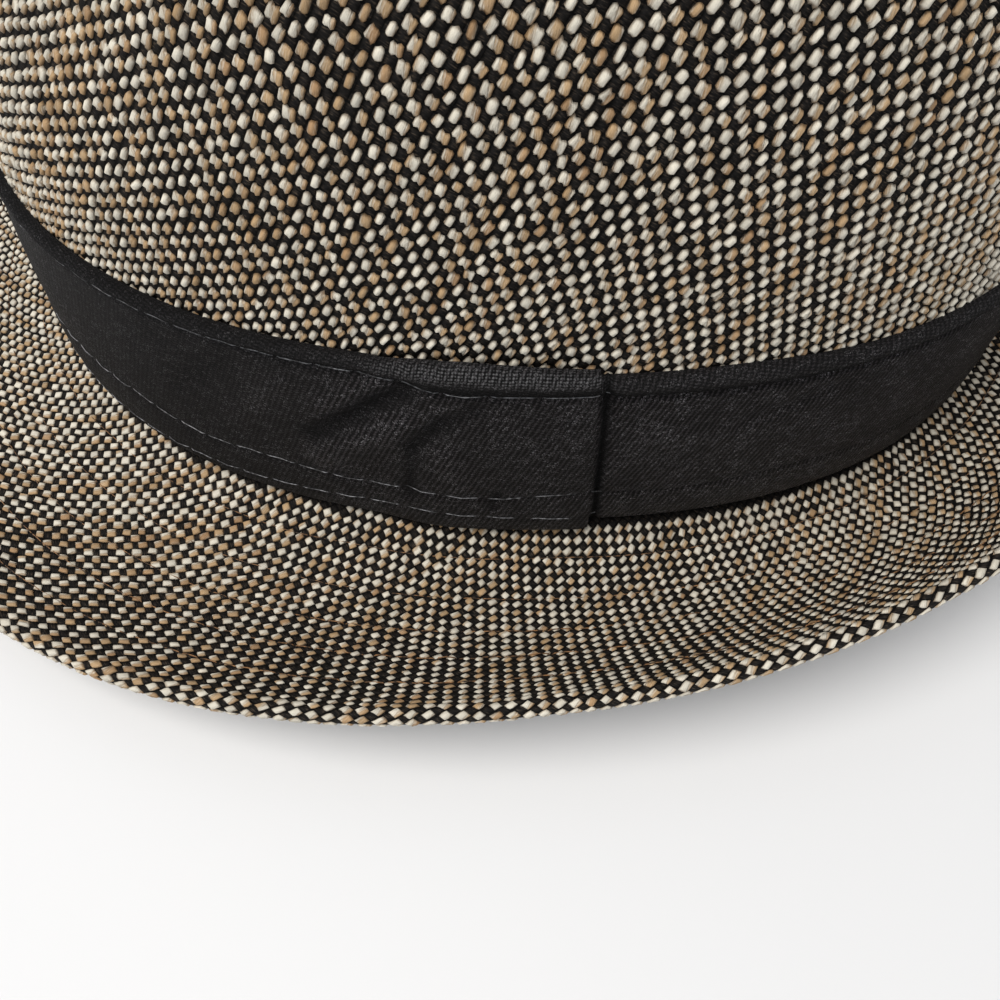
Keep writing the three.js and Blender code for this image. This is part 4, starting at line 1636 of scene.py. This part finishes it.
class FEDORA_OT_band(bpy.types.Operator):
    """Builds the lapped twill band with its turned hems"""

    bl_idname = "fedora.band"
    bl_label = "Band"

    def execute(self, context):
        # The columns are a degree apart, and closer together on both layers beside the lap's end
        progress = np.concatenate([np.arange(0, 6), np.arange(6, 14, 0.2), np.arange(14, 320),
                                   np.linspace(320, BAND_WHOLE_TURN, 151)])[:, None]
        edge, seam = along_band(BAND_EDGES, progress), along_band(HEM_SEAMS, progress)
        lower, foot = along_band(LOWER_SEAMS, progress), band_foot(progress)
        foot_rows, middle_rows, hem_rows = BAND_ROWS
        height = np.concatenate([
            foot + (lower - foot) * np.linspace(0, 1, foot_rows),
            lower + (seam - lower) * np.linspace(0, 1, middle_rows)[1:],
            seam + (edge - seam) * np.sin(np.linspace(0, math.pi / 2, hem_rows))[1:]], axis=1)
        end_tuck = END_TUCK_DEPTH * bell(BAND_WHOLE_TURN - progress, END_TUCK_TURNS)
        leaning = smooth(END_LEANS_FROM, BAND_WHOLE_TURN, progress)
        progress = progress - LAP_END_LEAN * height / BAND_TOP * leaning
        outer = band_place(progress, height, band_relief(progress, height) - end_tuck)
        inner = band_place(progress, height, np.full(height.shape, -BAND_CLOTH))
        points, faces = wall(outer, inner)
        steps = np.linalg.norm(np.diff(outer, axis=1), axis=2) / MM
        up = np.concatenate([foot, foot + np.cumsum(steps, axis=1)], axis=1)
        up = np.concatenate([up, 2 * up[:, -1:] + BAND_CLOTH - up])
        along = np.broadcast_to(band_arc(progress), height.shape)
        laid = np.stack([np.concatenate([along, along]), up], -1).reshape(-1, 2)
        rubbed, wear = self.highlight_and_shade(progress, height, share_between(seam, edge, height))
        make_piece("band_cloth", points, faces, twill_material(), ["hat_band"],
                   {"cloth": laid},
                   {"rubbed": np.tile(rubbed.ravel(), 2), "wear": np.tile(wear.ravel(), 2)},
                   sharp=SHARP_BAND_EDGE)
        return {"FINISHED"}

    def highlight_and_shade(self, progress, height, up_hem):
        """How much the hem's turned edge gets a painted highlight on its upper part, and how worn grey with
        painted sheen the band is, less under painted shade: in its creases (more on their ridges), in the
        hem's lower half, beside the lap as a painted shadow and where the hem has no painted highlight."""
        # Painted highlight on the upper part of the hem's turned edge, its strength by the way along the
        # band, fading off at its very top
        hem_lit = along_band(HEM_HIGHLIGHTS, progress)
        rubbed = hem_lit * smooth(0.4, 0.75, up_hem) * (1 - 0.6 * smooth(0.93, 1.0, up_hem))
        # Painted shade: wear and painted sheen are taken away in the creases and added on their ridges,
        # under the hem, beside the lap's end as a painted shadow, and on the hem where it has no painted
        # highlight
        painted_shade = PAINTED_SHADE_IN_CREASES * np.clip(crease_depth(progress, height), -0.8, 1.6)
        painted_shade = painted_shade + PAINTED_SHADE_UNDER_HEM * smooth(0.0, 0.1, up_hem) * (1 - smooth(0.35, 0.5, up_hem))
        painted_shade = painted_shade + PAINTED_SHADOW_BESIDE_LAP * beside_lap(progress, height)
        painted_shade = painted_shade + PAINTED_SHADE_ON_HEM * smooth(0.3, 0.6, up_hem) * (1 - np.minimum(hem_lit, 1))
        return rubbed, along_band(BAND_WEAR_AND_SHEEN, progress) * (1 - np.minimum(painted_shade, MOST_PAINTED_SHADE))


# One stitch, station by station: the share of its length, its height in radii, how much of its looseness it
# shows, and its thickness in radii
STITCH_SHARES = np.array([0.0, 0.12, 0.5, 0.88, 1.0])
STITCH_ARCH = np.array([-1.6, 0.4, 1.0, 0.4, -1.6])
STITCH_LOOSENESS = np.array([0, 0.5, 1, 0.5, 0])
STITCH_TAPER = np.array([0.7, 1, 1, 1, 0.7])
THREAD_SIDES = 3

# The brim's rows: their length in mm, how far they wander and at how many places, how far the thread lies
# above the cloth, its share of the thread's radius, how loose it is in mm, and the share that shows
BRIM_ROW_LENGTH = 700
BRIM_WANDER = 0.12
BRIM_WANDER_PLACES = 60
BRIM_THREAD_LIFT = 0.08
BRIM_THREAD_SHARE = 0.85
BRIM_THREAD_LOOSE = 0.08
BRIM_THREAD_SHOWN = 0.93

# The band's rows: their length in mm, where they start and how much of the band they leave free in degrees,
# and the same of their thread
BAND_ROW_LENGTH = 590
BAND_ROW_START = 1
BAND_ROW_FREE = 1.8
BAND_THREAD_SHARE = 0.65
BAND_THREAD_LOOSE = 0.07
BAND_THREAD_SHOWN = 0.9


def stitches(along_row, count, radius, random, loose, shown):
    """Lines, outward directions and radii of a row of stitches. along_row(share, out) gives a place at a
    share of the row, in the frame; shown is the share of each stitch that lies on top."""
    places = (np.arange(count) / count)[:, None] + STITCH_SHARES * (shown / count)
    heights = STITCH_ARCH * radius + random.normal(0, loose, (count, 1)) * STITCH_LOOSENESS
    lines = along_row(places, heights)
    outward = unit(along_row(places, heights + 1.0) - lines)
    radii = np.broadcast_to(STITCH_TAPER * radius * MM, places.shape)
    return lines, outward, radii


class FEDORA_OT_stitching(bpy.types.Operator):
    """Sews the brim's five rows on both sides and the band's three"""

    bl_idname = "fedora.stitching"
    bl_label = "Stitching"

    def execute(self, context):
        sewing = context.scene.fedora_stitching
        random = np.random.default_rng(context.scene.fedora_stage.seed + THREAD_DRAWS)
        radius = sewing.thread_width / 2
        count = int(BRIM_ROW_LENGTH / sewing.brim_stitch)
        on_top = np.array(BRIM_STITCH_REACHES)
        for name, strips in (("brim_stitches_top", on_top),
                             ("brim_stitches_under", ROLL_START + ROLL_END - on_top)):
            rows = []
            for strip in strips:
                wander = random.normal(0, BRIM_WANDER, BRIM_WANDER_PLACES)

                def along_brim(share, out, strip=strip, wander=wander):
                    sway = np.interp(share % 1 * BRIM_WANDER_PLACES, np.arange(BRIM_WANDER_PLACES), wander)
                    return brim_place(share * 360 - 180, strip + sway, out + BRIM_THREAD_LIFT)
                rows.append(stitches(along_brim, count, radius * BRIM_THREAD_SHARE, random,
                                     BRIM_THREAD_LOOSE, BRIM_THREAD_SHOWN))
            self.sew(name, rows, "tweed", brim_thread_material())

        rows = []
        count = int(BAND_ROW_LENGTH / sewing.band_stitch)
        for seams, lifts in ((HEM_SEAMS, HEM_STITCH_LIFTS), (LOWER_SEAMS, STITCH_LIFTS),
                             (FOOT_SEAMS, STITCH_LIFTS)):
            def along_seam(share, out, seams=seams, lifts=lifts):
                progress = BAND_ROW_START + share * (BAND_WHOLE_TURN - BAND_ROW_FREE)
                height = along_band(seams, progress)
                lift = along_band(lifts, progress)
                return band_place(progress, height, out + band_relief(progress, height) + lift)
            rows.append(stitches(along_seam, count, radius * BAND_THREAD_SHARE, random,
                                 BAND_THREAD_LOOSE, BAND_THREAD_SHOWN))
        self.sew("band_stitches", rows, "twill", band_thread_material())
        return {"FINISHED"}

    def sew(self, name, rows, slot, material):
        """Makes one piece of all the rows of a thread, kept above the floor."""
        lines, outward, radii = (np.concatenate(parts) for parts in zip(*rows))
        lines[..., 2] = np.maximum(lines[..., 2], radii)
        points, faces = tubes(lines, outward, radii, THREAD_SIDES)
        make_piece(name, points, faces, material)


# The floor's width in metres, and the colour of the even light
FLOOR_SIZE = 6.0
SKY_COLOUR = (0.93, 0.96, 1.0, 1.0)

# The soft lights, which point at the origin: place and width in metres, and colour
LIGHTS = {
    "key": ((0.25, -0.4, 1.15), 0.8, (1.0, 0.97, 0.92)),
    "fill": ((1.1, -0.1, 0.6), 0.9, (0.93, 0.97, 1.0)),
}


class FEDORA_OT_stage(bpy.types.Operator):
    """Sets up the floor, the soft lights and the camera"""

    bl_idname = "fedora.stage"
    bl_label = "Studio"

    def execute(self, context):
        scene, stage = context.scene, context.scene.fedora_stage
        corners = np.array([(-1, -1), (1, -1), (1, 1), (-1, 1)]) * FLOOR_SIZE / 2
        level = min(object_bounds()[0].z, 0.0)
        mesh = bpy.data.meshes.new("floor")
        mesh.from_pydata([(x, y, level) for x, y in corners], [], [(0, 1, 2, 3)])
        floor = bpy.data.objects.new("floor", mesh)
        scene.collection.objects.link(floor)
        mesh.materials.append(floor_material())
        floor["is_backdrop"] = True

        world = bpy.data.worlds.new("studio")
        world.use_nodes = True
        sky = world.node_tree.nodes["Background"].inputs
        sky["Color"].default_value = SKY_COLOUR
        sky["Strength"].default_value = stage.sky
        scene.world = world
        self.light("key", stage.key_power)
        self.light("fill", stage.fill_power)

        data = bpy.data.cameras.new("camera")
        data.lens, data.sensor_width = CAMERA_LENS, CAMERA_SENSOR
        data.clip_start, data.clip_end = 0.005, 20.0
        camera = bpy.data.objects.new("camera", data)
        scene.collection.objects.link(camera)
        camera.matrix_world = self.camera_matrix()
        scene.camera = camera
        scene.view_settings.view_transform = "Standard"
        return {"FINISHED"}

    def light(self, name, power):
        place, size, colour = LIGHTS[name]
        data = bpy.data.lights.new(name, "AREA")
        data.shape, data.size, data.energy, data.color = "DISK", size, power, colour
        lamp = bpy.data.objects.new(name, data)
        bpy.context.scene.collection.objects.link(lamp)
        lamp.location = place
        lamp.rotation_mode = "QUATERNION"
        lamp.rotation_quaternion = Vector(place).to_track_quat("Z", "Y")

    def camera_matrix(self):
        yaw, pitch, roll = (math.radians(angle) for angle in (CAMERA_YAW, CAMERA_PITCH, CAMERA_ROLL))
        level_share = math.cos(pitch)
        forward = np.array([math.cos(yaw) * level_share, math.sin(yaw) * level_share, -math.sin(pitch)])
        level = unit(np.cross(forward, (0, 0, 1)))
        above = np.cross(level, forward)
        right = math.cos(roll) * level + math.sin(roll) * above
        up = math.cos(roll) * above - math.sin(roll) * level
        place = rest_place(np.array(CAMERA_PLACE))
        axes = [tilted(axis) for axis in (right, up, -forward)]
        matrix = Matrix.Identity(4)
        for column, axis in enumerate([*axes, place]):
            for row in range(3):
                matrix[row][column] = float(axis[row])
        return matrix


# ---------------------------------------------------------------------------------------------------
# Add-on
# ---------------------------------------------------------------------------------------------------

OPERATORS = (
    FEDORA_OT_crown_wall, FEDORA_OT_crown_top, FEDORA_OT_brim, FEDORA_OT_band, FEDORA_OT_stitching,
    FEDORA_OT_stage,
)
SETTINGS = {
    "fedora_cloth": FedoraCloth, "fedora_band": FedoraBand, "fedora_stitching": FedoraStitching,
    "fedora_stage": FedoraStage,
}


class FEDORA_PT_panel(bpy.types.Panel):
    """Lists the pieces and their settings"""

    bl_idname = "FEDORA_PT_panel"
    bl_label = "Fedora"
    bl_space_type = "VIEW_3D"
    bl_region_type = "UI"
    bl_category = "Fedora"

    def draw(self, context):
        for name, group in SETTINGS.items():
            box = self.layout.box()
            box.label(text=group.__doc__)
            for key in group.__annotations__:
                box.prop(getattr(context.scene, name), key)
        for operator in OPERATORS:
            self.layout.operator(operator.bl_idname)


def register():
    for kind in (*SETTINGS.values(), *OPERATORS, FEDORA_PT_panel):
        bpy.utils.register_class(kind)
    for name, group in SETTINGS.items():
        setattr(bpy.types.Scene, name, PointerProperty(type=group))


def unregister():
    for name in SETTINGS:
        delattr(bpy.types.Scene, name)
    for kind in (FEDORA_PT_panel, *reversed(OPERATORS), *reversed(SETTINGS.values())):
        bpy.utils.unregister_class(kind)


def main():
    register()
    bpy.ops.fedora.crown_wall()
    bpy.ops.fedora.crown_top()
    bpy.ops.fedora.brim()
    bpy.ops.fedora.band()
    bpy.ops.fedora.stitching()
    bpy.ops.fedora.stage()


if __name__ == "__main__":
    main()
